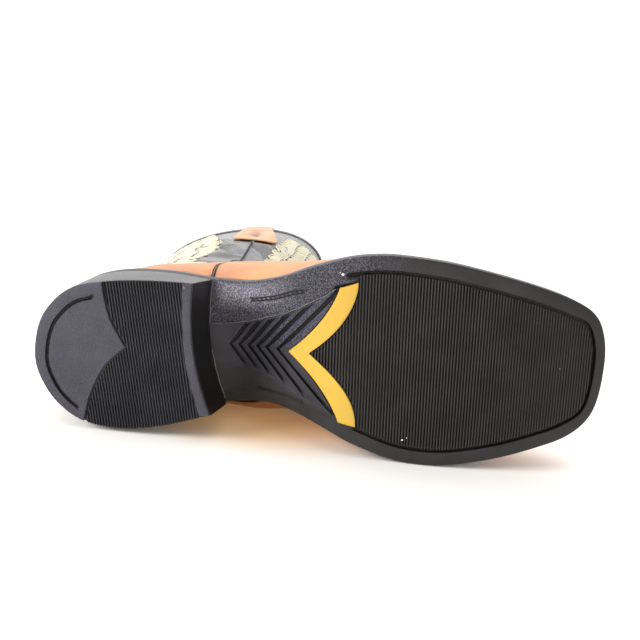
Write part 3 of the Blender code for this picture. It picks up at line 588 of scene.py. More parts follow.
treadShape = {
    "channelInset": ((0.0, 7.4), (286.0, 7.4), (300.0, 5.9), (320.0, 5.9)),
    "channelWidth": 1.8,
    "channelDepth": 2.3,
    "channelFrom": (163.0, 168.0),
    "bed": 2.0,
    "across": 64,
    "bandBackApex": 135.4,
    "bandFrontApex": 145.9,
    "bandY": 1.6,
    "bandReach": 36.0,
    "bandGap": 0.75,
    # slope and bend of the band's arms: outer side, then inner side
    "bandBack": ((1.16, 0.0112), (1.06, 0.0101)),
    "bandFront": ((1.30, 0.0160), (1.28, 0.0172)),
    # ends of the arms at the back edge and at the front edge
    "bandEnds": ((-34.0, -36.6), (38.0, 40.6)),
    # place across the band and height there
    "bandProfile": ((0.0, -0.7), (0.005, 0.1), (0.023, 0.42), (0.065, 0.55), (0.23, 0.58), (0.5, 0.6),
                    (0.77, 0.58), (0.935, 0.55), (0.977, 0.42), (0.995, 0.1), (1.0, -0.7)),
    # past this line at the band's outer end the face stays level: along, across, slope, and where that ends
    "bandPast": (162.0, -34.0, 0.24),
    "levelUntil": (176.0, 170.0),
    "chevronY": 1.9,
    # lean of the first and the last chevron's arms: outer side, then inner side
    "chevronSlope": ((0.77, 0.92), (0.68, 0.9)),
    "chevronTips": (101.3, 106.4, 111.5, 116.7, 121.9, 128.2),
    "chevronWidth": 1.9,
    "chevronWiden": 0.8,
    "chevronDepth": 2.0,
    # place across one groove and depth there
    "chevronProfile": ((-0.35, 0.0), (-0.04, 0.03), (0.04, 0.5), (0.13, 0.96), (0.5, 1.0), (0.87, 0.96),
                       (0.96, 0.5), (1.04, 0.03), (1.35, 0.0)),
    # edges of the smooth panel that holds the chevrons, outer and inner side
    "panelOuter": ((90.0, -9.7), (99.5, -10.0), (109.6, -11.1), (121.2, -14.2), (134.1, -18.7),
                   (141.9, -22.7), (148.7, -26.5), (155.3, -29.9), (159.7, -33.0), (164.1, -34.2)),
    "panelInner": ((90.0, 11.5), (112.0, 16.4), (121.0, 19.4), (132.0, 24.0), (143.0, 29.6), (152.0, 33.4),
                   (162.0, 38.4)),
    "panelFrom": (88.0, 94.0),
    # painted highlight on the panel's ridges: everywhere, added on the outer side, then where that sets in
    "panelGlint": (0.15, 0.75),
    "panelGlintFrom": ((4.0, -3.0), (112.0, 132.0)),
    "panelProud": 0.4,
    "panelBed": 1.8,
    "breastHollow": 5.0,
    "settleTurns": 30,
}

# where the face's grain, its painted sheen and the painted shade on the forefoot set in: across the boot,
# then along it
faceMarks = {
    "outerGrain": ((-6.0, -12.0), (236.0, 166.0)),
    "innerGrain": ((12.0, 22.0), (178.0, 160.0)),
    "innerShare": 0.4,
    "sheen": ((-16.0, -27.0), (146.0, 108.0)),
    "sheenFrom": (94.0, 100.0),
    "wallGrain": (-16.0, -22.0),
    # painted shade on the forefoot, darker at the toe: amount and place along the boot, at the ball and at
    # the toe
    "forefootShade": ((0.12, (190.0, 215.0)), (0.3, (245.0, 290.0))),
}


def bandEdge(apex, arms, y):  # x of one edge of the V band
    across = np.asarray(y, float) - treadShape["bandY"]
    reach = np.minimum(np.abs(across), treadShape["bandReach"])
    lines = [slope * reach - bend * reach ** 2 for slope, bend in arms]
    return apex + np.where(across < 0, lines[0], lines[1])


def bandBack(y):
    return bandEdge(treadShape["bandBackApex"], treadShape["bandBack"], y)


def bandFront(y):
    return bandEdge(treadShape["bandFrontApex"], treadShape["bandFront"], y)


def bedDepth(x, y):  # how deep the sole's face lies under the ribs and the chevron panel
    shape = treadShape
    pastX, pastY, slope = shape["bandPast"]
    beyond = softStep(0.5, 1.5, pastY - slope * (x - pastX) - y) * softStep(*shape["levelUntil"], x)
    ahead = softStep(-3.0, -1.0, x - bandBack(y)) * (1 - beyond)
    fromOuter = softStep(1.0, 3.0, y - lineAt(shape["panelOuter"], x))
    fromInner = softStep(2.0, 4.5, lineAt(shape["panelInner"], x) - y)
    behind = softStep(-1.0, 1.0, bandBack(y) - x) * softStep(*shape["panelFrom"], x)
    return np.maximum(shape["bed"] * ahead, shape["panelBed"] * fromOuter * fromInner * behind)


def setIn(mark, x, y):  # 0 to 1 over a mark's two ranges
    across, along = faceMarks[mark]
    return softStep(*across, y) * softStep(*along, x)


def pebbleAmount(x, y):  # the grained part of the waist, fading along the outer border
    return np.maximum(setIn("outerGrain", x, y), faceMarks["innerShare"] * setIn("innerGrain", x, y))


def sheenAmount(x, y):  # painted sheen: the waist is lightened along its outer side, most near the heel
    return setIn("sheen", x, y) * softStep(*faceMarks["sheenFrom"], x)


def paintFace(bm):  # grain, painted sheen, and painted shade in the recesses and on the forefoot, as values of the outsole's vertices
    layers = [bm.verts.layers.float.new(name) for name in ("pebble", "sheen", "paintedShade")]
    places = np.array([vert.co for vert in bm.verts])
    x, y = places[:, 0], places[:, 1]
    lift = places[:, 2] - soleLine(x)
    under = softStep(1.8, 0.9, lift)
    toEdge = np.min(np.linalg.norm(places[:, None, :2] - soleLoop[None, ::3], axis=2), axis=1)
    # the pebble value sets the grain and the painted highlight on its tops; the sheen is painted light
    grained = pebbleAmount(x, y) * np.maximum(under, softStep(*faceMarks["wallGrain"], y))
    pale = sheenAmount(x, y) * under
    # painted shade: darker on the forefoot, most at the toe, and in the recessed bed, channel and hollow away
    # from the edge
    forefootShade = under * sum(amount * softStep(*along, x) for amount, along in faceMarks["forefootShade"])
    deep = np.maximum(softStep(0.4, 1.2, lift) * softStep(3.0, 6.0, toEdge), forefootShade)
    for vert, amounts in zip(bm.verts, zip(grained, pale, deep)):
        for layer, amount in zip(layers, amounts):
            vert[layer] = amount


def buildOutsole():
    shape = treadShape
    thick = soleShape["thick"]
    channelOn = softStep(*shape["channelFrom"], soleLoop[:, 0])
    hollows = np.array([
        softStep(166.0, 128.0, soleLoop[:, 0]) * softStep(90.0, 100.0, soleLoop[:, 0]),
        shape["channelDepth"] * channelOn,
        shape["bed"] * channelOn,
    ])
    near = lineAt(shape["channelInset"], soleLoop[:, 0])
    far = near + shape["channelWidth"]
    # inset and lift, then shares of the waist's hollow, of the channel and of the ribs' bed
    profile = (
        (12.0, thick, 0, 0, 0), (0.3, thick, 0, 0, 0), (0.0, thick - 0.3, 0, 0, 0), (0.0, 3.4, 0, 0, 0),
        (0.0, 1.1, 1.2, 0, 0), (0.12, 0.5, 1.5, 0, 0), (0.42, 0.14, 1.55, 0, 0), (1.0, 0.0, 1.4, 0, 0),
        (3.6, 0.0, 0.75, 0, 0), (near - 0.35, 0.0, 0.15, 0, 0), (near - 0.08, 0.06, 0, 0, 0),
        (near, 0.18, 0, 0.1, 0), (near + 0.1, 0.0, 0, 1, 0), (far - 0.1, 0.0, 0, 1, 0),
        (far, 0.0, 0, 0, 1), (far + 0.3, 0.0, 0, 0, 1),
    )
    bm = bmesh.new()
    ring = None
    for inset, lift, *shares in profile:
        points = overSole(insetLoop(soleLoop, inset), lift + shares @ hollows)
        if ring is None:
            ring = startRing(bm, points)
            closeRing(bm, ring)
        else:
            ring = growRing(bm, ring, points)
    rungs = closeRing(bm, ring)
    made = bmesh.ops.subdivide_edges(bm, edges=rungs, cuts=shape["across"], use_grid_fill=True)["geom_inner"]
    face = [item for item in made if isinstance(item, bmesh.types.BMVert)]
    places = np.array([vert.co for vert in face])
    heights = soleLine(places[:, 0]) + bedDepth(places[:, 0], places[:, 1])
    for vert, height in zip(face, heights):
        vert.co.z = height
    paintFace(bm)
    finishPiece("outsoleBody", bm, [soleRubber], ["outsole"])


ribShape = {
    "pitch": 1.57,
    "tilt": 0.045,
    "depth": 1.75,
    "worn": 0.6,
    # where the ribs wear lower, and where painted shade darkens them toward the toe
    "wornAndShadedFrom": (205.0, 285.0),
    "proud": 0.08,
    "first": 146.9,
    "last": 299.0,
    "across": 14,
    # place in one rib's pitch and height there, groove first
    "profile": ((0.0, 0.0), (0.3, 0.0), (0.4, 0.7), (0.46, 0.96), (0.63, 1.0), (0.8, 0.96), (0.88, 0.7)),
}


def ribSlab(bm, layer, stations, heights, spans, tilt, top, depth, deep):  # ribs between their ends
    across = np.linspace(0, 1, ribShape["across"] + 1)
    low, high = spans
    y = low[:, None] + (high - low)[:, None] * across[None, :]
    x = stations[:, None] - tilt * y
    z = top(x) + depth(x) * (1 - heights[:, None])
    # painted shade: black in the grooves, and darker over all the ribs toward the toe
    flat = softStep(*ribShape["wornAndShadedFrom"], x)
    paint = softStep(0.75, 0.0, heights)[:, None] * (1 - 0.5 * flat) + 0.3 * flat
    gridSlab(bm, np.stack([x, y, z], axis=2), deep, ((layer, paint),))


def ribStations(first, last, pitch):
    count = int((last - first) / pitch)
    offsets = np.array([place for place, height in ribShape["profile"]])
    heights = np.array([height for place, height in ribShape["profile"]])
    stations = (first + pitch * (np.arange(count)[:, None] + offsets[None, :])).ravel()
    return stations, np.tile(heights, count)


def spanOf(stations, tilt, allowed, reach=66.0):  # where each rib's line lies inside an outline
    y = np.arange(-reach, reach, 0.1)
    low = []
    high = []
    for station in stations:
        inside = y[allowed(station - tilt * y, y)]
        low.append(inside.min() if len(inside) else 0.0)
        high.append(inside.max() if len(inside) else 0.0)
    return np.array(low), np.array(high)


def buildForefootRibs():
    shape = ribShape
    channel = lineAt(treadShape["channelInset"], soleLoop[:, 0]) + treadShape["channelWidth"]
    outerSide, innerSide = halves(insetLoop(soleLoop, channel + 0.25))
    stations, heights = ribStations(shape["first"], shape["last"], shape["pitch"])

    def allowed(x, y):
        inside = (y > np.interp(x, *outerSide.T)) & (y < np.interp(x, *innerSide.T))
        return inside & (x > bandFront(y) + treadShape["bandGap"]) & (x < outerSide[-1, 0])

    spans = spanOf(stations, shape["tilt"], allowed)
    bm = bmesh.new()
    paintedShade = bm.verts.layers.float.new("paintedShade")
    ribSlab(bm, paintedShade, stations, heights, spans, shape["tilt"], lambda x: soleLine(x) - shape["proud"],
            lambda x: shape["depth"] * (1 - shape["worn"] * softStep(*shape["wornAndShadedFrom"], x)), (2.0, 1.0))
    finishPiece("forefootRibs", bm, [ribRubber], sharp=30)


def armSlope(column, side):  # the arms open a little from chevron to chevron
    first, last = treadShape["chevronSlope"][side]
    start, end = treadShape["chevronTips"][0], treadShape["chevronTips"][-1]
    return first + (last - first) * (column - start) / (end - start)


def chevronEnds(column, side):  # where a chevron's arm meets the edge of the panel
    limit = treadShape["panelInner" if side else "panelOuter"]
    y = np.full(np.shape(column), 20.0 if side else -20.0)
    for turn in range(treadShape["settleTurns"]):
        x = column + armSlope(column, side) * np.abs(y - treadShape["chevronY"])
        y = 0.5 * y + 0.5 * lineAt(limit, x)
    return y


def breastSeat(y):  # the heel's front edge under the sole
    (outerX, outerY), (innerX, innerY) = soleShape["breastSeat"]
    share = np.clip((innerY - np.asarray(y, float)) / (innerY - outerY), 0, 1)
    return innerX + (outerX - innerX) * share - 4 * treadShape["breastHollow"] * share * (1 - share)


def buildChevronPanel():
    shape = treadShape
    tips = np.array(shape["chevronTips"])
    offsets, depths = np.array(shape["chevronProfile"]).T
    columns = (tips[:, None] + offsets * shape["chevronWidth"]).ravel()
    offsets = np.tile(offsets, len(tips))
    depths = np.tile(depths, len(tips))
    share = np.linspace(-1, 1, 57)
    share = np.sign(share) * np.abs(share) ** 0.85
    centre = shape["chevronY"]

    def across(low, high):  # y on each line, with a line of points along the chevrons' tips
        wide = np.where(share < 0, centre - low[:, None], high[:, None] - centre)
        return centre + wide * share

    low = chevronEnds(columns, 0)
    high = chevronEnds(columns, 1)
    y = across(low, high)
    slope = np.where(share < 0, armSlope(columns, 0)[:, None], armSlope(columns, 1)[:, None])
    widen = shape["chevronWiden"] * offsets[:, None] * softStep(0.0, 6.0, centre - y)
    x = columns[:, None] + widen + slope * np.abs(y - centre)
    order = np.arange(len(columns))[::-1, None]
    x = np.minimum(x, bandBack(y) - shape["bandGap"] - 0.1 - 0.02 * order)
    fade = np.where(share < 0, softStep(1.0, 0.95, -share), softStep(1.0, 0.92, share))[None, :]
    deep = depths[:, None] * fade
    level = shape["panelProud"] * softStep(1.0, -0.3, share)[None, :]
    z = soleLine(x) - level + shape["chevronDepth"] * deep
    rear = np.linspace(0, 1, 9)[:-1]
    rearLow = shape["panelOuter"][0][1] + (low[0] - shape["panelOuter"][0][1]) * rear
    rearHigh = shape["panelInner"][0][1] + (high[0] - shape["panelInner"][0][1]) * rear
    rearY = across(rearLow, rearHigh)
    rearStart = breastSeat(rearY) + 0.4
    rearEnd = columns[0] + widen[0] + slope[0] * np.abs(rearY - centre)
    rearX = rearStart + (rearEnd - rearStart) * rear[:, None]
    frontY = np.repeat(y[-1:], 3, axis=0)
    frontEnd = bandBack(frontY) - shape["bandGap"]
    frontX = x[-1:] + (frontEnd - x[-1:]) * np.array([0.4, 0.8, 1.0])[:, None]
    rows = [np.stack([rearX, rearY, soleLine(rearX) - level], axis=2), np.stack([x, y, z], axis=2),
            np.stack([frontX, frontY, soleLine(frontX) - level], axis=2)]
    place = np.concatenate(rows)
    # painted shade in the grooves and a painted highlight on the ridges, as vertex values
    depth = np.concatenate([np.zeros(rearX.shape), deep, np.zeros(frontX.shape)])
    least, most = shape["panelGlint"]
    fromSide, fromRear = shape["panelGlintFrom"]
    glint = least + most * softStep(*fromSide, place[:, :, 1]) * softStep(*fromRear, place[:, :, 0])
    bm = bmesh.new()
    paintedShade = bm.verts.layers.float.new("paintedShade")
    pebble = bm.verts.layers.float.new("pebble")
    gridSlab(bm, place, (2.6, 1.0), ((paintedShade, depth), (pebble, glint * (1 - depth))))
    finishPiece("chevronPanel", bm, [panelRubber], sharp=40)


def buildBand():
    shape = treadShape
    widths, heights = np.array(shape["bandProfile"]).T
    share = np.concatenate([np.linspace(-1, -0.97, 4), np.linspace(-0.94, 0.94, 95), np.linspace(0.97, 1, 4)])
    outerEnd, innerEnd = (back + (front - back) * widths for back, front in shape["bandEnds"])
    middle = shape["bandY"]
    wide = np.where(share[:, None] < 0, middle - outerEnd, innerEnd - middle)
    y = middle + wide * share[:, None]
    x = bandBack(y) + (bandFront(y) - bandBack(y)) * widths
    rim = softStep(1.0, 0.975, np.abs(share))[:, None]
    z = soleLine(x) - (heights + (0.1 - heights) * (1 - rim))
    bm = bmesh.new()
    warmth = bm.verts.layers.float.new("warmth")
    gridSlab(bm, np.stack([x, y, z], axis=2), (2.3, 0.6), ((warmth, softStep(12.0, -34.0, y)),))
    finishPiece("vBand", bm, [inlayRubber], ["chevron_inlay"], sharp=50)


def buildFlashLines():  # the fine mould lines along the panel's outer edge and at the foot of the breast, in paler rubber as a painted highlight
    x = np.linspace(92.0, 160.5, 90)
    y = lineAt(treadShape["panelOuter"], x)
    wander = 0.12 * np.sin(x * 0.9) + 0.08 * np.sin(x * 2.3)
    bm = bmesh.new()
    tube(bm, np.column_stack([x, y + wander, soleLine(x) - treadShape["panelProud"] * 0.6]), 0.2, 6)
    y = np.linspace(-32.5, 34.0, 80)
    x = breastSeat(y) + 0.7 + 0.1 * np.sin(y * 0.7)
    tube(bm, np.column_stack([x, y, soleLine(x) - 0.05]), 0.22, 6)
    finishPiece("flashLines", bm, [flashHighlightRubber], sharp=80)


markShape = {
    # lines of the cast marks on the waist and of the hook at the end of the heel's groove
    "outer": ((113.3, -24.0), (118.3, -24.2), (124.0, -25.2), (131.2, -27.2), (138.3, -29.9), (145.1, -31.6)),
    "inner": ((115.5, 26.3), (122.2, 26.6), (129.5, 27.1), (136.8, 28.2), (143.0, 30.2)),
    "hook": ((33.0, -31.5), (35.6, -32.2), (36.9, -33.2), (37.6, -32.4), (36.9, -31.6)),
    "outerHalf": (0.15, 0.8),
    "innerHalf": (0.1, 0.55),
    "radius": 0.5,
    "hookRadius": 0.55,
    "lift": 0.2,
}


def ropeMark(bm, line, half):  # two cast lines with slanting bars between them
    line = evenly(throughPoints(line, 12, False), 91)
    half = np.array(half)
    rows = [line[4:-2] - half, line[4:-2] + half]
    rows += [np.linspace(line[start] - half, line[start + 3] + half, 5) for start in range(6, 84, 7)]
    for row in rows:
        tube(bm, overSole(row, markShape["lift"]), markShape["radius"], 6)


def buildMouldMarks():  # cast marks on both sides of the waist and the hook at the end of the heel's groove, all coloured black as painted shade
    bm = bmesh.new()
    paintedShade = bm.verts.layers.float.new("paintedShade")
    for side in ("outer", "inner"):
        ropeMark(bm, markShape[side], markShape[side + "Half"])
    hook = evenly(throughPoints(markShape["hook"], 8, False), 20)
    tube(bm, np.column_stack([hook, np.full(len(hook), 0.3)]), markShape["hookRadius"], 6)
    # painted shade: the marks are coloured black
    for vert in bm.verts:
        vert[paintedShade] = 1.0
    finishPiece("mouldMarks", bm, [soleRubber], sharp=80)


def buildWelt():
    low = soleShape["thick"] + soleShape["gap"]
    high = low + soleShape["weltThick"]
    wide = soleShape["weltWidth"]
    profile = ((0.5, low), (0.1, low + 0.15), (0.0, low + 0.6), (0.0, high - 0.8), (0.15, high - 0.25),
               (0.6, high), (3.2, high + 0.02), (wide - 0.4, high), (wide, high - 0.4), (wide, low + 0.4),
               (wide - 0.4, low))
    bm = bmesh.new()
    rings = []
    for inset, lift in profile:
        points = overSole(insetLoop(soleLoop, inset), lift)
        rings.append(growRing(bm, rings[-1], points) if rings else startRing(bm, points))
    joinRings(bm, rings[0], rings[-1])
    finishPiece("weltStrip", bm, [edgeRubber], ["welt"])


def buildInsole():
    low = soleShape["thick"] + soleShape["gap"]
    high = low + soleShape["insoleThick"]
    inset = soleShape["weltWidth"] + soleShape["gap"]
    bm = bmesh.new()
    profile = ((inset + 0.8, low), (inset, low + 0.5), (inset, high - 0.8), (inset + 0.3, high - 0.2),
               (inset + 1.0, high))
    ring = startRing(bm, overSole(insetLoop(soleLoop, profile[0][0]), profile[0][1]))
    closeRing(bm, ring)
    for wide, lift in profile[1:]:
        ring = growRing(bm, ring, overSole(insetLoop(soleLoop, wide), lift))
    closeRing(bm, ring)
    finishPiece("insoleBoard", bm, [insoleLeather], ["insole"])


dustSpots = ((164.2, -41.1, 0.75), (194.6, 48.3, 0.55), (197.0, 47.2, 0.3), (162.8, -41.9, 0.3))


def buildDust():  # a few specks of white dust on the tread: place and radius
    bm = bmesh.new()
    for x, y, radius in dustSpots:
        spot = Matrix.Translation((x, y, float(soleLine(x)) - 0.1)) @ Matrix.Diagonal((1.0, 0.8, 0.5, 1.0))
        bmesh.ops.create_icosphere(bm, subdivisions=2, radius=radius, matrix=spot)
    finishPiece("dustSpecks", bm, [whiteDust], sharp=80)


buildOutsole()
buildForefootRibs()
buildChevronPanel()
buildBand()
buildFlashLines()
buildMouldMarks()
buildWelt()
buildInsole()
buildDust()
print("sole made")

# heel

heelShape = {
    "treadBack": 4.9,
    "breastTread": ((88.2, -37.8), (93.2, 33.0)),
    "breastSag": 4.5,
    "breastClear": 4.0,
    "swell": 0.15,
    "lip": 0.1,
    "rearSteps": 220,
    "breastSteps": 60,
    "treadDepth": 1.8,
    # along the boot, half width to the outer side, half width to the inner side
    "treadEdge": ((8.0, 16.6, 13.5), (15.0, 28.0, 25.0), (27.0, 36.8, 34.6), (45.0, 39.6, 38.9),
                  (65.0, 39.6, 38.5), (85.0, 38.2, 35.0)),
    "padApex": (51.8, -5.0),
    "padOuter": ((48.3, -12.4), (44.9, -20.8), (43.2, -30.2), (42.5, -39.0)),
    "padInner": ((47.4, -1.8), (41.3, 3.5), (35.4, 12.0), (30.3, 22.9), (27.0, 34.0)),
    "arcInset": 4.6,
    "arcLean": -0.03,
    "arcLeanFrom": 22.0,
    "arcWidth": 2.0,
    "arcDepth": 1.5,
    "bracketGap": 1.15,
    # grain over the whole rear pad, its tops lightened by the painted highlight
    "speckle": 0.55,
    "ribFront": ((-39.0, 82.6), (-22.5, 81.4), (-7.2, 81.0), (6.4, 81.8), (16.3, 83.4), (34.0, 87.3)),
    "ribPitch": 1.47,
    "ribTilt": -0.065,
    "ribDepth": 1.2,
    "ribRange": (26.0, 95.5),
    "ribBack": 12.0,
    "ribReach": 44.0,
    "tipRoom": 0.6,
    "ribShortest": 0.8,
    "rooted": 0.4,
    # the smooth strip ahead of the ribs: its ends, its gap, then place across it and depth there
    "stripEnds": (-37.6, 32.8),
    "stripGap": 0.35,
    "stripProfile": ((0.0, 0.6), (0.04, 0.12), (0.2, 0.0), (0.8, 0.0), (0.94, 0.1), (1.0, 0.5)),
}


def breastLine(corners, count):  # from the inner corner to the outer, hollowed towards the heel
    outer, inner = (np.array(corner) for corner in corners)
    share = np.linspace(0, 1, count)
    line = inner + (outer - inner) * share[:, None]
    line[:, 0] -= 4 * heelShape["breastSag"] * share * (1 - share)
    return line


def heelRear(rows, backX, corners):  # from the inner corner round the back to the outer corner
    outer, inner = corners
    rows = [row for row in rows if row[0] < outer[0] - heelShape["breastClear"]]
    lateral = [(x, -wide) for x, wide, other in rows]
    medial = [(x, wide) for x, other, wide in reversed(rows)]
    points = [inner] + medial + [(backX, 0.0)] + lateral + [outer]
    return evenly(throughPoints(points, closed=False), heelShape["rearSteps"])


def heelLoop(rows, backX, corners):
    front = breastLine(corners, heelShape["breastSteps"])[::-1]
    return np.vstack([heelRear(rows, backX, corners), front[1:-1]])


def buildHeel():
    shape = heelShape
    seat = heelLoop(soleShape["edge"], soleShape["back"][0], soleShape["breastSeat"])
    seat = insetLoop(seat, -shape["lip"])
    tread = heelLoop(shape["treadEdge"], shape["treadBack"], shape["breastTread"])
    top = soleShape["heelHeight"] - soleShape["gap"]
    bm = bmesh.new()
    paintedShade = bm.verts.layers.float.new("paintedShade")
    ring = None
    levels = [(shape["treadDepth"] - 0.1, 0.5), (shape["treadDepth"] + 0.15, 0.05), (2.6, 0.0)]
    for height in np.linspace(4.0, top - 1.0, 9):
        levels.append((height, -shape["swell"] * sin(pi * height / top)))
    levels += [(top - 0.35, 0.05), (top, 0.4)]
    for height, pinch in levels:
        loop = insetLoop(tread + (seat - tread) * height / top, pinch)
        points = np.column_stack([loop, np.full(len(loop), height)])
        if ring is None:
            ring = startRing(bm, points)
            bmesh.ops.triangle_fill(bm, use_beauty=True, edges=ringEdges(bm, ring))
            # painted shade on the block's underside, seen in the gaps between the ribs and the pad
            for vert in ring:
                vert[paintedShade] = 1.0
        else:
            ring = growRing(bm, ring, points)
    bmesh.ops.triangle_fill(bm, use_beauty=True, edges=ringEdges(bm, ring))
    finishPiece("heelBlock", bm, [edgeRubber], ["heel"], sharp=45)
    return tread


def padLine():  # the bracket edge of the rear pad, from the outer end over its tip to the inner end
    shape = heelShape
    outer = throughPoints([shape["padApex"], *shape["padOuter"]], closed=False)[::-1]
    inner = throughPoints([shape["padApex"], *shape["padInner"]], closed=False)
    return np.vstack([outer, inner[1:]])


def buildHeelRibs(rear, bracket):  # ribs ahead of the bracket's tip, then on both sides of it
    shape = heelShape
    back = int(np.argmin(rear[:, 0]))
    medial, lateral = (side[np.argsort(side[:, 0])] for side in (rear[:back + 1], rear[back:]))
    tip = int(np.argmax(bracket[:, 0]))
    outerArm, innerArm = bracket[:tip + 1], bracket[tip:]
    stations, heights = ribStations(*shape["ribRange"], shape["ribPitch"])
    tilt = shape["ribTilt"]
    apexX, apexY = shape["padApex"]

    def onTread(x, y):  # inside the heel's edge and ahead of the rear pad
        inside = (y > np.interp(x, *lateral.T)) & (y < np.interp(x, *medial.T))
        front = np.interp(y, *np.array(shape["ribFront"]).T)
        outer = np.interp(y, outerArm[:, 1], outerArm[:, 0])
        inner = np.interp(y, innerArm[:, 1], innerArm[:, 0])
        ahead = x > np.where(y < apexY, outer, inner) + shape["bracketGap"]
        return inside & ahead & (x < front) & (x > shape["ribBack"])

    def besideTip(x, y):
        return x + tilt * y <= apexX + tilt * apexY + shape["tipRoom"]

    regions = (
        lambda x, y: onTread(x, y) & ~besideTip(x, y),
        lambda x, y: onTread(x, y) & besideTip(x, y) & (y < apexY),
        lambda x, y: onTread(x, y) & besideTip(x, y) & (y > apexY),
    )
    bm = bmesh.new()
    paintedShade = bm.verts.layers.float.new("paintedShade")
    bottom = (shape["treadDepth"] + shape["rooted"], 0.0)
    for allowed in regions:
        low, high = spanOf(stations, tilt, allowed, shape["ribReach"])
        kept = high - low > shape["ribShortest"]
        if kept.sum() > 1:
            ribSlab(bm, paintedShade, stations[kept], heights[kept], (low[kept], high[kept]), tilt, np.zeros_like,
                    lambda x: np.full(np.shape(x), shape["ribDepth"]), bottom)
    finishPiece("heelRibs", bm, [heelRibRubber], sharp=30)


def frontStrip(bm):  # the smooth strip between the ribs and the breast
    shape = heelShape
    y = np.linspace(*shape["stripEnds"], 60)
    back = np.interp(y, *np.array(shape["ribFront"]).T) + shape["stripGap"]
    breast = breastLine(shape["breastTread"], 60)[::-1]
    front = np.interp(y, breast[:, 1], breast[:, 0])
    share, depth = np.array(shape["stripProfile"]).T
    x = back[:, None] + np.maximum(front - back, 0.6)[:, None] * share
    place = np.stack(np.broadcast_arrays(x, y[:, None], depth), axis=2)
    gridSlab(bm, place, (shape["treadDepth"] + shape["rooted"], 0.0))


def buildHeelPad(rear, bracket):  # the front strip and the rear pad with its round groove
    shape = heelShape
    bm = bmesh.new()
    paintedShade = bm.verts.layers.float.new("paintedShade")
    pebble = bm.verts.layers.float.new("pebble")
    frontStrip(bm)
    arc = rear[::-1]
    ends = (bracket[0], bracket[-1])
    first, last = (int(np.argmin(np.linalg.norm(arc - end, axis=1))) for end in ends)
    outline = np.vstack([arc[first:last + 1], bracket[::-1][1:-1]])
    outline = evenly(np.vstack([outline, outline[:1]]), 421)[:0:-1]
    toBracket = np.min(np.linalg.norm(outline[:, None, :] - bracket[None, :, :], axis=2), axis=1)
    onArc = softStep(0.3, 7.0, toBracket)
    groove = shape["arcDepth"] * softStep(5.0, 7.0, toBracket)
    near = shape["arcInset"]
    far = near + shape["arcWidth"]
    lean = shape["arcLean"] * (outline[:, 1] - shape["arcLeanFrom"])
    profile = ((0.0, 0.6, 0.0), (0.1, 0.25, 0.0), (0.5, 0.0, 0.0), (near, 0.0, 0.0), (near + 0.12, 0.0, 0.8),
               (near + 0.35, 0.0, 1.0), (far - 0.35, 0.0, 1.0), (far - 0.12, 0.0, 0.8), (far, 0.0, 0.0))
    bottom = np.full(len(outline), shape["treadDepth"] + shape["rooted"])
    ring = startRing(bm, np.column_stack([outline, bottom]))
    bmesh.ops.triangle_fill(bm, use_beauty=True, edges=ringEdges(bm, ring))
    for distance, lift, deep in profile:
        inward = distance if distance <= 0.5 else 0.5 + (distance - 0.5 + lean) * onArc
        points = insetLoop(outline, inward)
        ring = growRing(bm, ring, np.column_stack([points, lift + deep * groove]))
        # painted shade in the round groove
        for vert, amount in zip(ring, deep * groove / shape["arcDepth"]):
            vert[paintedShade] = float(amount)
    bmesh.ops.triangle_fill(bm, use_beauty=True, edges=ringEdges(bm, ring))
    # grain over the whole pad, with the painted highlight on its tops
    for vert in bm.verts:
        vert[pebble] = shape["speckle"]
    finishPiece("heelPad", bm, [heelRubber], sharp=40)


heelRim = buildHeel()[:heelShape["rearSteps"]]
buildHeelRibs(heelRim, padLine())
buildHeelPad(heelRim, padLine())
print("heel made")

# upper

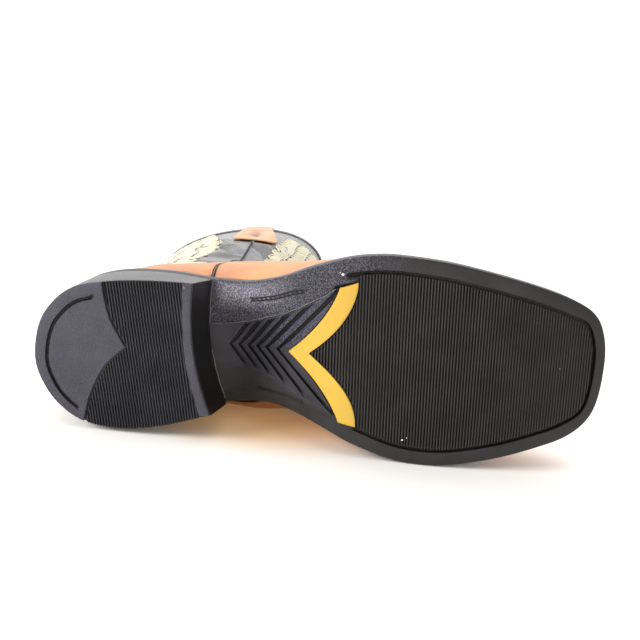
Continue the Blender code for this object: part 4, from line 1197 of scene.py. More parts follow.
upperShape = {
    "wall": 2.2,
    "overlay": 1.4,
    "overlayLift": 0.4,
    "beadRadius": 0.75,
    "beadFlat": 0.75,
    "beadSplit": 98.0,
    "binding": 1.1,
    "bindingShare": 0.2,
    "collarPeak": 8.0,
    "collarFrontDip": 34.0,
    "collarBackDip": 26.0,
    "collarFade": 1.5,
    "collarCurve": 1.7,
    "lowSteps": 22,
    "topSteps": 28,
    "footRows": 132,
    "legRows": 104,
    # low x, top x, top y, top z, outer half, inner half, swell, widest place, lower and upper roundness
    "foot": (
        (292.0, 298.7, 9.5, 22.8, 14.0, 43.5, 0.0, 0.30, 1.35, 2.0),
        (289.5, 298.4, 9.5, 29.0, 15.4, 46.0, 0.0, 0.34, 1.35, 2.3),
        (285.0, 296.0, 9.5, 36.5, 17.0, 48.0, 0.0, 0.36, 1.35, 2.5),
        (278.0, 290.0, 9.5, 43.5, 19.4, 49.5, 0.0, 0.36, 1.35, 2.5),
        (268.0, 279.0, 9.0, 49.0, 23.4, 52.0, 0.0, 0.36, 1.35, 2.4),
        (252.0, 262.0, 8.5, 54.5, 28.8, 55.0, 0.0, 0.35, 1.35, 2.3),
        (232.0, 241.0, 7.5, 61.5, 35.2, 57.5, 0.2, 0.34, 1.35, 2.2),
        (208.0, 217.0, 6.5, 71.5, 40.6, 57.8, 0.4, 0.33, 1.35, 2.1),
        (185.0, 195.0, 5.0, 82.5, 42.4, 54.0, 0.6, 0.34, 1.35, 2.1),
        (162.0, 177.0, 3.8, 93.5, 41.4, 49.5, 0.4, 0.36, 1.35, 2.1),
        (140.0, 162.0, 2.6, 105.0, 38.4, 46.0, 0.4, 0.38, 1.35, 2.1),
        (118.0, 150.0, 1.6, 116.5, 36.2, 42.5, 0.6, 0.39, 1.35, 2.1),
        (96.0, 141.0, 0.8, 128.0, 35.0, 39.0, 1.0, 0.40, 1.35, 2.1),
        (74.0, 134.5, 0.3, 139.5, 34.2, 36.4, 1.6, 0.41, 1.40, 2.1),
        (52.0, 131.0, 0.0, 150.5, 33.6, 34.6, 2.0, 0.42, 1.45, 2.1),
        (32.0, 129.2, 0.0, 160.5, 32.9, 33.3, 2.0, 0.43, 1.60, 2.1),
        (17.0, 128.6, 0.0, 169.5, 32.5, 32.6, 1.6, 0.44, 1.80, 2.1),
    ),
    # back x, back z, front x, front z, half width, swell, widest place, back and front roundness
    "leg": (
        (6.6, 41.6, 128.8, 177.5, 32.2, 1.2, 0.45, 2.0, 2.1),
        (3.8, 58.0, 130.2, 187.0, 32.0, 0.8, 0.46, 2.0, 2.1),
        (5.2, 78.0, 132.4, 198.0, 32.0, 0.4, 0.48, 2.0, 2.1),
        (9.4, 99.0, 135.0, 209.5, 32.2, 0.0, 0.50, 2.0, 2.1),
        (13.0, 122.0, 138.0, 222.0, 32.5, 0.0, 0.52, 2.0, 2.1),
        (15.0, 147.0, 141.2, 235.0, 33.0, 0.0, 0.53, 2.0, 2.2),
        (15.4, 175.0, 144.6, 249.0, 33.4, 0.0, 0.54, 2.0, 2.2),
        (15.0, 206.0, 148.0, 263.0, 33.8, 0.0, 0.55, 2.0, 2.2),
        (14.0, 240.0, 151.2, 278.0, 34.0, 0.0, 0.56, 2.0, 2.2),
        (12.8, 272.0, 153.6, 292.0, 33.9, 0.0, 0.56, 2.0, 2.2),
        (11.6, 304.0, 155.0, 306.0, 33.6, 0.0, 0.56, 2.0, 2.2),
    ),
    # height and the side seam's place there, then along the boot and the panels' height there
    "seamX": ((36.0, 92.5), (60.0, 92.0), (105.0, 95.0), (150.0, 97.0), (210.0, 98.5), (260.0, 98.0),
              (310.0, 96.5)),
    "vampTop": ((80.0, 92.0), (98.0, 94.0), (112.0, 104.0), (122.0, 122.0), (130.0, 148.0), (138.0, 158.0),
                (150.0, 160.0)),
    "counterTop": ((0.0, 126.0), (14.0, 124.0), (26.0, 112.0), (50.0, 98.0), (75.0, 92.5), (100.0, 92.0)),
    # painted shade: the inner arch is darker near the floor: amount, then where that sets in across, in
    # height and along
    "archShade": (0.8, (24.0, 38.0), (100.0, 76.0), (175.0, 140.0)),
    "edgeShade": (0.6, (1.2, 0.0)),
}


def sectionTable():
    rows = []
    outerSide, innerSide = halves(featherLoop)
    for lowX, topX, topY, topZ, outer, inner, swell, wide, lowRound, topRound in upperShape["foot"]:
        lowZ = float(soleLine(lowX)) + featherLift
        lowHalf = [abs(float(np.interp(lowX, *side.T))) for side in (outerSide, innerSide)]
        rows.append((lowX, lowZ, topX, topY, topZ, *lowHalf, outer, inner, swell, wide, lowRound, topRound))
    for backX, backZ, frontX, frontZ, half, swell, wide, backRound, frontRound in upperShape["leg"]:
        ends = (backX, backZ, frontX, 0.0, frontZ, 0.0, 0.0)
        rows.append((*ends, half, half, swell, wide, backRound, frontRound))
    return [(index, *row) for index, row in enumerate(rows)]


sections = sectionTable()
footCount = len(upperShape["foot"])
lastPlace = len(sections) - 1


def arcPoints(section, side, low, top):  # one side of a section, from its low end to the ridge
    lowX, lowZ, topX, topY, topZ = section[:5]
    lowHalf, half = (section[5], section[7]) if side < 0 else (section[6], section[8])
    swell, wide, lowRound, topRound = section[9:]
    lowY, wideY = side * lowHalf, side * half
    turn = low * pi / 2
    lowRise = wide * (1 - np.cos(turn) ** (2 / lowRound))
    lowAcross = lowY + (wideY - lowY) * np.sin(turn) ** (2 / lowRound) + side * swell * np.sin(2 * turn)
    turn = top * pi / 2
    topRise = wide + (1 - wide) * np.sin(turn) ** (2 / topRound)
    topAcross = topY + (wideY - topY) * np.abs(np.cos(turn)) ** (2 / topRound)
    rise = np.concatenate([lowRise, topRise])
    y = np.concatenate([lowAcross, topAcross])
    return np.column_stack([lowX + (topX - lowX) * rise, y, lowZ + (topZ - lowZ) * rise])


def skinRow(place):  # the upper's outline at one section, inner side first
    low = np.linspace(0, 1, upperShape["lowSteps"], endpoint=False)
    top = np.linspace(0, 1, upperShape["topSteps"] + 1)
    section = throughTable(sections, place)[0]
    inner = arcPoints(section, 1, low, top)
    outer = arcPoints(section, -1, low, top)
    share = np.concatenate([low - 1, top])
    height = max(0.0, place - footCount) / (lastPlace - footCount)
    dip = np.where(share > 0, upperShape["collarFrontDip"], upperShape["collarBackDip"])
    peak = upperShape["collarPeak"]
    scallop = peak - (peak + dip) * np.abs(share) ** upperShape["collarCurve"]
    lift = height ** upperShape["collarFade"] * scallop
    inner[:, 2] += lift
    outer[:, 2] += lift
    return np.vstack([inner, outer[-2::-1]])


def sheetNormals(place):
    along = np.gradient(place, axis=0)
    across = np.gradient(place, axis=1)
    seam = np.linalg.norm(place[:, 0] - place[:, -1], axis=1) < 0.02
    joined = (place[:, 1] - place[:, -2]) / 2
    across[seam, 0] = joined[seam]
    across[seam, -1] = joined[seam]
    normal = np.cross(along, across)
    length = np.linalg.norm(normal, axis=2)
    normal /= np.where(length == 0, 1, length)[:, :, None]
    return normal


creaseShape = {
    # side of the boot, depth, half width, then the trough's line seen from the side (x, z)
    "troughs": (
        (-1, 1.1, 5.0, ((44, 128), (66, 118), (88, 116))),
        (-1, 0.9, 4.5, ((104, 120), (116, 132), (124, 146))),
        (-1, 0.8, 5.0, ((40, 152), (62, 146), (86, 150))),
        (-1, 0.7, 4.0, ((112, 158), (121, 168), (128, 182))),
        (-1, 1.9, 5.0, ((62, 206), (78, 190), (88, 168))),
        (-1, 2.0, 5.0, ((104, 204), (114, 186), (120, 160))),
        (-1, 1.4, 4.5, ((58, 240), (72, 226), (80, 208))),
        (-1, 1.5, 4.5, ((120, 214), (130, 206), (138, 190))),
        (1, 1.1, 5.0, ((42, 126), (64, 117), (88, 117))),
        (1, 0.9, 4.5, ((105, 122), (116, 134), (124, 148))),
        (1, 0.8, 5.0, ((42, 154), (64, 148), (86, 151))),
        (1, 0.7, 4.5, ((108, 160), (120, 170), (129, 184))),
        (-1, 0.55, 4.0, ((196, 34), (192, 52), (186, 70))),
        (-1, 0.45, 4.0, ((210, 30), (207, 46), (202, 62))),
        (1, 0.55, 4.0, ((198, 34), (193, 52), (187, 70))),
        (1, 0.45, 4.0, ((212, 30), (208, 46), (203, 62))),
    ),
    "ridge": 0.45,
    # the inner arch bulges past the sole's waist and lies on the floor: place, reach and height
    "arch": ((115.0, 50.0), (24.0, 17.0), 7.0),
    "floorRoom": 2.1,
}


def creaseHeight(points):  # soft troughs with a low ridge on both sides
    height = np.zeros(len(points))
    flat = points[:, [0, 2]]
    for side, depth, wide, line in creaseShape["troughs"]:
        line = throughPoints(line, 8, closed=False)
        gap = np.full(len(points), 1e9)
        for start, end in zip(line, line[1:]):
            span = end - start
            share = np.clip(((flat - start) @ span) / (span @ span), 0, 1)
            gap = np.minimum(gap, np.linalg.norm(flat - start - share[:, None] * span, axis=1))
        near = softStep(0.0, 6.0, side * points[:, 1])
        trough = -np.exp(-(gap / wide) ** 2)
        ridge = creaseShape["ridge"] * np.exp(-((gap - 2 * wide) / wide) ** 2)
        height += depth * near * (trough + ridge)
    middle, reach, rise = creaseShape["arch"]
    swell = np.exp(-((flat - middle) / reach) ** 2).prod(axis=1)
    return height + rise * swell * softStep(8.0, 24.0, points[:, 1])


def overFloor(place):  # lifts what would reach under the floor
    toWorld = np.array(bootToWorld)
    height = (place @ toWorld[2, :3] + toWorld[2, 3]) / mm
    place[:, :, 1] -= np.maximum(creaseShape["floorRoom"] - height, 0) * softStep(20.0, 30.0, place[:, :, 1])
    return place


def skinSheet():
    foot = np.linspace(0, footCount, upperShape["footRows"], endpoint=False)
    leg = np.linspace(footCount, lastPlace, upperShape["legRows"])
    place = np.array([skinRow(at) for at in (*foot, *leg)])
    normal = sheetNormals(place)
    height = creaseHeight(place.reshape(-1, 3)).reshape(place.shape[:2])
    place = overFloor(place + normal * height[:, :, None])
    return place, sheetNormals(place)


skin, skinNormal = skinSheet()
if skinNormal[len(skin) // 2, upperShape["lowSteps"]][1] < 0:  # the widest place of the inner side faces +y
    skinNormal = -skinNormal


def lineFields():  # distances that bound the tan panels, in mm, at every point of the upper
    x, z = skin[:, :, 0], skin[:, :, 2]
    seam = lineAt(upperShape["seamX"], z)
    return {
        "ahead": x - seam,
        "vampTop": lineAt(upperShape["vampTop"], x) - z,
        "counterTop": lineAt(upperShape["counterTop"], x) - z,
        "overWelt": z - soleLine(x) - featherLift - upperShape["overlayLift"],
    }


fields = lineFields()
seamRoom = upperShape["beadRadius"] + soleShape["gap"]
vampField = np.minimum(fields["ahead"] - seamRoom, fields["vampTop"])
counterField = np.minimum(-fields["ahead"] - seamRoom, fields["counterTop"])


def closeSeam(bm, table):  # welds the back seam where both sides of the sheet meet
    pairs = {}
    for row in table:
        if (row[0].co - row[-1].co).length < 0.02:
            pairs[row[-1]] = row[0]
    bmesh.ops.weld_verts(bm, targetmap=pairs)


def trimSheet(bm, value):  # cuts a sheet along its field's zero line and keeps the positive part
    near = 0.03
    for edge in list(bm.edges):
        start, end = edge.verts
        if value[start] * value[end] < 0:
            share = value[start] / (value[start] - value[end])
            if near < share < 1 - near:
                fresh = bmesh.utils.edge_split(edge, start, share)[1]
                value[fresh] = 0.0
            else:
                value[start if share <= near else end] = 0.0
    bmesh.ops.connect_verts(bm, verts=[vert for vert in bm.verts if value[vert] == 0.0])
    outside = [face for face in bm.faces if min(value[vert] for vert in face.verts) < 0]
    bmesh.ops.delete(bm, geom=outside, context="FACES")
    bmesh.ops.delete(bm, geom=[vert for vert in bm.verts if not vert.link_faces], context="VERTS")
    bmesh.ops.dissolve_degenerate(bm, edges=bm.edges, dist=0.06)


def faceOut(bm):  # turns a sheet so that its normals point away from the leg
    bm.normal_update()
    widest = max(bm.faces, key=lambda face: face.calc_center_median().y)
    if widest.normal.y < 0:
        bmesh.ops.reverse_faces(bm, faces=bm.faces)


def addThickness(piece, thick, offset, edgeRound=0.0, insideSlot=0):
    solidify = piece.modifiers.new("thickness", "SOLIDIFY")
    solidify.thickness = thick * mm
    solidify.offset = offset
    solidify.use_even_offset = True
    solidify.use_quality_normals = True
    solidify.material_offset = insideSlot
    if edgeRound:
        bevel = piece.modifiers.new("edge", "BEVEL")
        bevel.width = edgeRound * mm
        bevel.segments = 2
        bevel.limit_method = "ANGLE"
        bevel.angle_limit = radians(50)


def buildUpper():
    bm = bmesh.new()
    closeSeam(bm, gridSheet(bm, skin))
    faceOut(bm)
    leathers = [blackLeather, liningLeather]
    piece = finishPiece("upperShell", bm, leathers, ["upper"], 60, False)
    addThickness(piece, upperShape["wall"], -1, insideSlot=1)


def buildPanel(name, field, node):  # a tan overlay, dark along its cut edges, with painted shade low on the inner side
    bm = bmesh.new()
    darkEdgeAndShade = bm.verts.layers.float.new("darkEdgeAndShade")
    table = gridSheet(bm, skin + skinNormal * soleShape["gap"])
    whole = np.minimum(field, fields["overWelt"])
    value = {vert: float(amount) for vert, amount in zip(table.flat, whole.flat)}
    closeSeam(bm, table)
    value = {vert: amount for vert, amount in value.items() if vert.is_valid}
    trimSheet(bm, value)
    edgeAmount, edgeFrom = upperShape["edgeShade"]
    archAmount, across, height, along = upperShape["archShade"]
    # darker along the cut edges, and painted shade low on the inner side
    for vert in bm.verts:
        edge = softStep(*edgeFrom, value.get(vert, 0.0))
        arch = softStep(*across, vert.co.y) * softStep(*height, vert.co.z) * softStep(*along, vert.co.x)
        vert[darkEdgeAndShade] = max(edgeAmount * float(edge), archAmount * float(arch))
    faceOut(bm)
    piece = finishPiece(name, bm, [tanLeather], [node], 50, False)
    addThickness(piece, upperShape["overlay"], 1, 0.45)


def buildBinding():
    wall, gap, thick = upperShape["wall"], soleShape["gap"], upperShape["binding"]
    rimRow = skin[-1][:-1]
    outRow = skinNormal[-1][:-1]
    lowRow = skinRow(lastPlace - upperShape["bindingShare"])[:-1]
    up = rimRow - lowRow
    reach = np.linalg.norm(up, axis=1)[:, None]
    up = up / reach
    near, far, back, deep = gap, gap + thick, -wall - gap, -wall - gap - thick
    middle = (far + deep) / 2
    profile = [(near, -1.0), (near + 0.3, -0.98), (far - 0.2, -0.6), (far, -0.3)]
    for turn in np.linspace(0, pi, 9):
        profile.append((middle + (far - middle) * cos(turn), (gap + thick) * sin(turn)))
    profile += [(deep, -0.2), (deep, -0.93), (deep + 0.3, -1.0), (back, -1.0), (back, 0.0), (near, 0.0)]
    bm = bmesh.new()
    rings = []
    for out, rise in profile:
        height = rise * reach if rise < 0 else rise
        points = rimRow + outRow * out + up * (height + (near if rise == 0.0 else 0.0))
        rings.append(growRing(bm, rings[-1], points) if rings else startRing(bm, points))
    joinRings(bm, rings[0], rings[-1])
    finishPiece("collarBinding", bm, [bindingLeather], ["collar_binding"], 50)


def skinTree():
    bm = bmesh.new()
    gridSheet(bm, skin)
    bm.normal_update()
    tree = BVHTree.FromBMesh(bm)
    bm.free()
    return tree


skinWall = skinTree()


def onSide(x, z, side):  # the upper's outer face at a place in the side view, and its normal there
    place, normal = skinWall.ray_cast(Vector((x, side * 150.0, z)), Vector((0, -side, 0)))[:2]
    return np.array(place), np.array(normal if normal.y * side > 0 else -normal)


strapShape = {
    "half": 18.0,
    # share of its width lost at the collar, behind and ahead of its middle
    "narrow": (0.14, 0.45),
    "corner": 5.0,
    "thick": 1.4,
    "foot": 226.0,
    "ahead": 3.0,
    "insideFoot": 240.0,
    # dent in its outer face: place, reach and depth
    "fold": ((-1.0, 256.0), (5.5, 16.0), 3.0),
    "rise": 20.0,
    "loopCurve": 0.7,
    "rimClear": 1.0,
    "backClear": 2.0,
    "backCurve": 1.5,
    "footLift": 0.45,
    # darker along the edges, and painted shade in the fold: edge amount and reach, fold amount
    "edgeShade": (0.35, (1.6, 0.0)),
    "foldShade": 0.95,
    "span": 12.0,
    "room": 0.1,
    "ease": 30.0,
}


def collarHeight(x, side):
    z = strapShape["foot"]
    while skinWall.ray_cast(Vector((x, side * 150.0, z + 0.5)), Vector((0, -side, 0)), 150.0)[0]:
        z += 0.5
    return z


def strapLine(middle, offset, side):  # up the outside, over the collar and down the inside
    shape = strapShape
    lost = shape["narrow"][int(offset > 0)]
    top = collarHeight(middle, side)
    x = middle + offset * (1 - lost)
    flat = soleShape["gap"] + shape["thick"] / 2
    clear = upperShape["binding"] + shape["room"]
    out = flat + clear
    back = upperShape["wall"] + flat + clear
    rimZ = collarHeight(x, side) - shape["rimClear"]
    path = []
    for z in np.linspace(shape["foot"], rimZ, 8):
        lift = min(1.0, shape["footLift"] + (z - shape["foot"]) / shape["ease"])
        narrowed = 1 - lost * float(softStep(shape["foot"], top, z))
        place, normal = onSide(middle + offset * narrowed, z, side)
        path.append(place + normal * (flat + clear * lift))
    rim, normal = onSide(x, rimZ, side)
    for turn in np.linspace(0, pi, 9)[1:-1]:
        reach = out - (out + shape["span"]) * (1 - cos(turn)) / 2
        path.append(rim + normal * reach + np.array((0, 0, shape["rise"] * sin(turn) ** shape["loopCurve"])))
    backTop = rimZ - shape["backClear"]
    for z in np.linspace(backTop, shape["insideFoot"], 6):
        place, normal = onSide(x, z, side)
        near = (z - shape["insideFoot"]) / (backTop - shape["insideFoot"])
        path.append(place - normal * (back + (shape["span"] - back) * near ** shape["backCurve"]))
    return path


def shortened(line, cut):  # a line of as many points that starts a distance further on
    run = np.concatenate([[0], np.cumsum(np.linalg.norm(np.diff(line, axis=0), axis=1))])
    at = cut + (run[-1] - cut) * run / run[-1]
    return np.column_stack([np.interp(at, run, line[:, axis]) for axis in range(3)])


def buildStrap(name, side, node):
    shape = strapShape
    middle = float(lineAt(upperShape["seamX"], 310.0)) + shape["ahead"]
    lines = [strapLine(middle, offset, side) for offset in np.linspace(-shape["half"], shape["half"], 5)]
    lines = np.array([throughPoints(line, 4, closed=False) for line in lines])
    place = [throughPoints(row, 6, closed=False) for row in lines.transpose(1, 0, 2)]
    place = np.stack(place, axis=1)
    across = np.linspace(-shape["half"], shape["half"], len(place))
    past = np.clip((np.abs(across) - shape["half"] + shape["corner"]) / shape["corner"], 0, 1)
    cuts = shape["corner"] * (1 - np.sqrt(1 - past ** 2))
    place = np.array([shortened(line, cut) for line, cut in zip(place, cuts)])
    bm = bmesh.new()
    darkEdgeAndShade = bm.verts.layers.float.new("darkEdgeAndShade")
    table = gridSheet(bm, place)
    (foldAt, foldZ), (foldWide, foldHigh), foldDeep = shape["fold"]
    edgeAmount, edgeFrom = shape["edgeShade"]
    for row, offset in zip(table, across):
        for index, vert in enumerate(row):
            fold = np.exp(-((offset - foldAt) / foldWide) ** 2 - ((vert.co.z - foldZ) / foldHigh) ** 2)
            fold *= index < len(row) / 3
            vert.co.y -= side * foldDeep * fold
            # darker along the long edges, and painted shade in the fold's dent
            edge = edgeAmount * float(softStep(*edgeFrom, shape["half"] - abs(offset)))
            vert[darkEdgeAndShade] = max(edge, shape["foldShade"] * fold)
    bmesh.ops.recalc_face_normals(bm, faces=bm.faces)
    piece = finishPiece(name, bm, [strapLeather], [node], 50)
    addThickness(piece, shape["thick"], 0, 0.5)


def buildBead(name, side, node):
    radius = upperShape["beadRadius"]
    seam = upperShape["seamX"]
    low = float(soleLine(seam[0][1])) + featherLift + radius + 1.5
    split = upperShape["beadSplit"]
    high = strapShape["foot"] - radius - 1.0
    bm = bmesh.new()
    # bead with a tan rear half between the panels, black piping ahead of it, tan piping behind it
    # offset, radius, lift, from and to, material
    runs = ((0.0, radius, 0.7 * radius + soleShape["gap"], low, high, 0), (1.25, 0.5, 0.4, split, high, 1),
            (-1.5, 0.5, upperShape["overlay"] + 0.2, low, split - 6.0, 2))
    for offset, wide, lift, start, end, index in runs:
        before = set(bm.faces)
        spots = [onSide(float(lineAt(seam, z)) + offset, z, side) for z in np.linspace(start, end, 70)]
        line = [place + normal * lift for place, normal in spots]
        tube(bm, line, wide, 10, [normal for place, normal in spots], upperShape["beadFlat"])
        for face in set(bm.faces) - before:
            middle = face.calc_center_median()
            tanHalf = index == 0 and middle.z < split and middle.x < float(lineAt(seam, middle.z))
            face.material_index = 2 if tanHalf else index
    finishPiece(name, bm, [seamLeather, blackLeather, tanLeather], [node], 60)


buildUpper()
buildPanel("vampPanel", vampField, "vamp")
buildPanel("heelCounter", counterField, "heel_counter")
buildBinding()
for sideName, sideSign in (("lateral", -1), ("medial", 1)):
    buildBead(sideName + "Bead", sideSign, "side_bead_" + sideName)
    buildStrap(sideName + "Strap", sideSign, "pull_strap_" + sideName)
print("upper made")

# stitches and embroidery

stitchShape = {
    "length": 1.15,
    "wide": 0.36,
    "high": 0.3,
    "pitch": 3.1,
    "lift": 0.1,
    "seamRoom": 6.0,
    "weltRoom": 3.0,
    # distances of the rows inside the tan panels and of the border on the shaft above them
    "panelRows": (2.4, 4.8),
    "borderRows": (-2.6, -4.6, -6.6),
    "borderPitch": 3.0,
    "borderSize": 2.0,
    "weltInset": 1.7,
    "weltPitch": 3.4,
}


def stitchSeed():
    seed = bmesh.new()
    bmesh.ops.create_uvsphere(seed, u_segments=8, v_segments=5, radius=1.0)
    seed.verts.index_update()
    return seed


def stitchMatrices(points, normals, lift, pitch=stitchShape["pitch"], size=1.0):  # one for each stitch
    points = np.asarray(points, float)
    normals = np.asarray(normals, float)
    length = np.concatenate([[0], np.cumsum(np.linalg.norm(np.diff(points, axis=0), axis=1))])
    at = np.arange(0.5, int(length[-1] / pitch)) * pitch
    place = np.column_stack([np.interp(at, length, points[:, axis]) for axis in range(3)])
    ahead = np.column_stack([np.interp(at + 0.4, length, points[:, axis]) for axis in range(3)])
    normal = np.column_stack([np.interp(at, length, normals[:, axis]) for axis in range(3)])
    along = ahead - place
    along /= np.linalg.norm(along, axis=1)[:, None]
    side = np.cross(normal, along)
    side /= np.linalg.norm(side, axis=1)[:, None]
    normal = np.cross(along, side)
    matrices = np.zeros((len(at), 4, 4))
    matrices[:, :3, 0] = along * stitchShape["length"] * size
    matrices[:, :3, 1] = side * stitchShape["wide"] * size
    matrices[:, :3, 2] = normal * stitchShape["high"]
    matrices[:, :3, 3] = place + normal * lift
    matrices[:, 3, 3] = 1
    return matrices


def acrossSkin(field, level, rising=False):  # where the skin's columns, run from toe to collar, cross a level
    points = []
    normals = []
    above = field >= level
    change = ~above[:-1] & above[1:] if rising else above[:-1] & ~above[1:]
    for column in range(skin.shape[1]):
        rows = np.nonzero(change[:, column])[0]
        if len(rows):
            row = rows[-1]
            share = (field[row, column] - level) / (field[row, column] - field[row + 1, column])
            points.append(skin[row, column] * (1 - share) + skin[row + 1, column] * share)
            normals.append(skinNormal[row, column])
    points = np.array(points)
    clear = points[:, 2] - soleLine(points[:, 0]) - featherLift > stitchShape["weltRoom"]
    clear &= np.abs(points[:, 0] - lineAt(upperShape["seamX"], points[:, 2])) > stitchShape["seamRoom"]
    return points[clear], np.array(normals)[clear]


def buildStitches():
    shape = stitchShape
    seed = stitchSeed()
    lift = soleShape["gap"] + upperShape["overlay"]
    rows = []
    for level in shape["panelRows"]:
        rows.append(stitchMatrices(*acrossSkin(vampField, level), lift))
        for side in (1, -1):
            for rising in (True, False):
                points, normals = acrossSkin(counterField, level, rising)
                chosen = points[:, 1] * side > 1.0
                if chosen.sum() > 4:
                    rows.append(stitchMatrices(points[chosen], normals[chosen], lift))
    placePiece("panelStitches", joinedCopies(seed, np.concatenate(rows)), [tanThread])
    sizes = (shape["lift"], shape["borderPitch"], shape["borderSize"])
    rows = [stitchMatrices(*acrossSkin(vampField, level), *sizes) for level in shape["borderRows"]]
    placePiece("vampBorder", joinedCopies(seed, np.concatenate(rows)), [creamThread])
    high = soleShape["thick"] + soleShape["gap"] + soleShape["weltThick"]
    loop = overSole(insetLoop(soleLoop, shape["weltInset"]), high)
    loop = np.vstack([loop, loop[:1]])
    up = np.tile((0.0, 0.0, 1.0), (len(loop), 1))
    matrices = stitchMatrices(loop, up, shape["lift"], shape["weltPitch"])
    placePiece("weltStitches", joinedCopies(seed, matrices), [tanThread])
    seed.free()


embroideryShape = {
    # mm round the shaft from the side line to the back and to the front
    "halfArc": {-1: 70.0, 1: 76.0},
    # inner edge of each panel: height, mm from the side line
    "frontEdge": ((100.0, 60.0), (150.0, 46.0), (185.0, 39.0), (240.0, 32.0), (300.0, 32.0)),
    "backEdge": ((100.0, 3.0), (140.0, -2.0), (185.0, -8.0), (240.0, -17.0), (300.0, -25.0)),
    "limit": {"front": 76.0, "back": -70.0},
    # stems: share of the way from the inner edge to the limit, foot height
    "front": ((0.2, 136.0), (0.5, 160.0), (0.8, 168.0), (0.98, 176.0)),
    "back": ((0.12, 102.0), (0.34, 104.0), (0.56, 108.0), (0.78, 118.0), (0.95, 128.0)),
    # room under the collar at a panel's inner edge and at its limit
    "rimRoom": {"front": (36.0, 13.0), "back": (12.0, 12.0)},
    "rimAt": 280.0,
    # swing of a stem and the height over which it turns
    "sway": (2.2, 11.0),
    "stemLift": 0.25,
    "stemRadius": 0.55,
    "stemFoot": 4.0,
    "leafStep": 6.4,
    "leafHalf": 3.4,
    # a leaf's least length and what it adds for each mm between stems
    "leafLong": (3.5, 0.75),
    # lean of the leaves, its change and how fast it changes from leaf to leaf
    "leafLean": (0.8, 0.12, 1.7),
    "leafApart": 0.7,
    "leafBow": 0.12,
    "leafHigh": 0.55,
    "leafSink": 0.12,
    # satin rows for each mm along a leaf, and their slant for each step across it
    "satin": (1.1, 0.55),
    # bows along a panel's inner edge, each with a leaf: length, reach, thread radius, leaf's root and size
    "scallop": 9.0,
    "scallopBow": 4.6,
    "scallopRadius": 0.6,
    "scallopRoot": 4.0,
    "scallopLeaf": (7.6, 3.7),
}
legStart = upperShape["footRows"] - 30  # first row of the skin that the shaft's columns are read from


def shaftColumn(side, across):  # across is mm from the side line, forward positive
    share = across / embroideryShape["halfArc"][1 if across > 0 else -1]
    low = upperShape["lowSteps"]
    column = low + share * (low if share < 0 else upperShape["topSteps"])
    column = min(max(column, 0.0), 2.0 * (low + upperShape["topSteps"]))
    return skin.shape[1] - 1 - column if side < 0 else column


def rimHeight(side, across):
    return float(np.interp(shaftColumn(side, across), np.arange(skin.shape[1]), skin[-1, :, 2]))


def onShaft(side, across, z):
    column = shaftColumn(side, across)
    left = min(int(column), skin.shape[1] - 2)
    part = column - left
    heights = skin[legStart:, left, 2] * (1 - part) + skin[legStart:, left + 1, 2] * part
    row = legStart + np.interp(z, heights, np.arange(len(heights)))
    below = min(int(row), skin.shape[0] - 2)
    rise = row - below
    weights = ((below, left, (1 - rise) * (1 - part)), (below, left + 1, (1 - rise) * part),
               (below + 1, left, rise * (1 - part)), (below + 1, left + 1, rise * part))
    place = sum(skin[i, j] * weight for i, j, weight in weights)
    normal = sum(skinNormal[i, j] * weight for i, j, weight in weights)
    return place, normal / np.linalg.norm(normal)


def leafMesh(bm, uv, side, root, angle, long, wide):  # one satin leaf laid on the shaft
    shape = embroideryShape
    steps, halfSteps = 9, 3
    place = np.zeros((steps + 1, 2 * halfSteps + 1, 3))
    for i, j in np.ndindex(place.shape[:2]):
        along = i / steps
        across = (j - halfSteps) / halfSteps
        reach = wide * (sin(pi * along ** 0.85) ** 0.8 if 0 < along < 1 else 0.02)
        ahead = along * long
        aside = across * reach + shape["leafBow"] * long * sin(pi * along)
        x = root[0] + ahead * sin(angle) + aside * cos(angle)
        z = root[1] + ahead * cos(angle) - aside * sin(angle)
        point, normal = onShaft(side, x, z)
        crown = shape["leafHigh"] * (1 - across ** 2) ** 0.5 * (0.5 + 0.5 * sin(pi * along))
        place[i, j] = point + normal * (crown - shape["leafSink"])
    table = gridSheet(bm, place)
    index = {vert: spot for spot, vert in np.ndenumerate(table)}
    rows, slant = shape["satin"]
    for face in {face for vert in table.flat for face in vert.link_faces}:
        for loop in face.loops:
            i, j = index[loop.vert]
            loop[uv].uv = (long * i / steps * rows + abs(j - halfSteps) * slant, j)


def panelAcross(panel, share, z):  # mm from the side line at a share of a panel's width
    edge = float(lineAt(embroideryShape[panel + "Edge"], z))
    return edge + (embroideryShape["limit"][panel] - edge) * share


def panelTop(side, panel, share):
    inner, outer = embroideryShape["rimRoom"][panel]
    rim = rimHeight(side, panelAcross(panel, share, embroideryShape["rimAt"]))
    return rim - inner - (outer - inner) * share


def onPanel(side, panel, share, z, swing=0.0):
    return onShaft(side, panelAcross(panel, share, z) + swing, z)


def swayAt(z):
    swing, turn = embroideryShape["sway"]
    return swing * sin(z / turn)


def threadLine(bm, spots, radius):
    tube(bm, [place + normal * embroideryShape["stemLift"] for place, normal in spots], radius, 6)


def addStem(leaves, uv, threads, side, panel, share, low):  # a swaying stem with pairs of leaves
    shape = embroideryShape
    high = panelTop(side, panel, share)
    gap = 1 / len(shape[panel])
    least, grow = shape["leafLong"]
    lean, change, pace = shape["leafLean"]
    for index, z in enumerate(np.arange(low, high, shape["leafStep"])):
        across = panelAcross(panel, share, z)
        long = least + grow * abs(panelAcross(panel, share + gap, z) - across)
        for turn in (-1, 1):
            root = (across + swayAt(z) + turn * shape["leafApart"], z)
            tilt = turn * (lean + change * sin(index * pace))
            leafMesh(leaves, uv, side, root, tilt, long, shape["leafHalf"])
    heights = np.linspace(low - shape["stemFoot"], high, 70)
    threadLine(threads, [onPanel(side, panel, share, z, swayAt(z)) for z in heights], shape["stemRadius"])


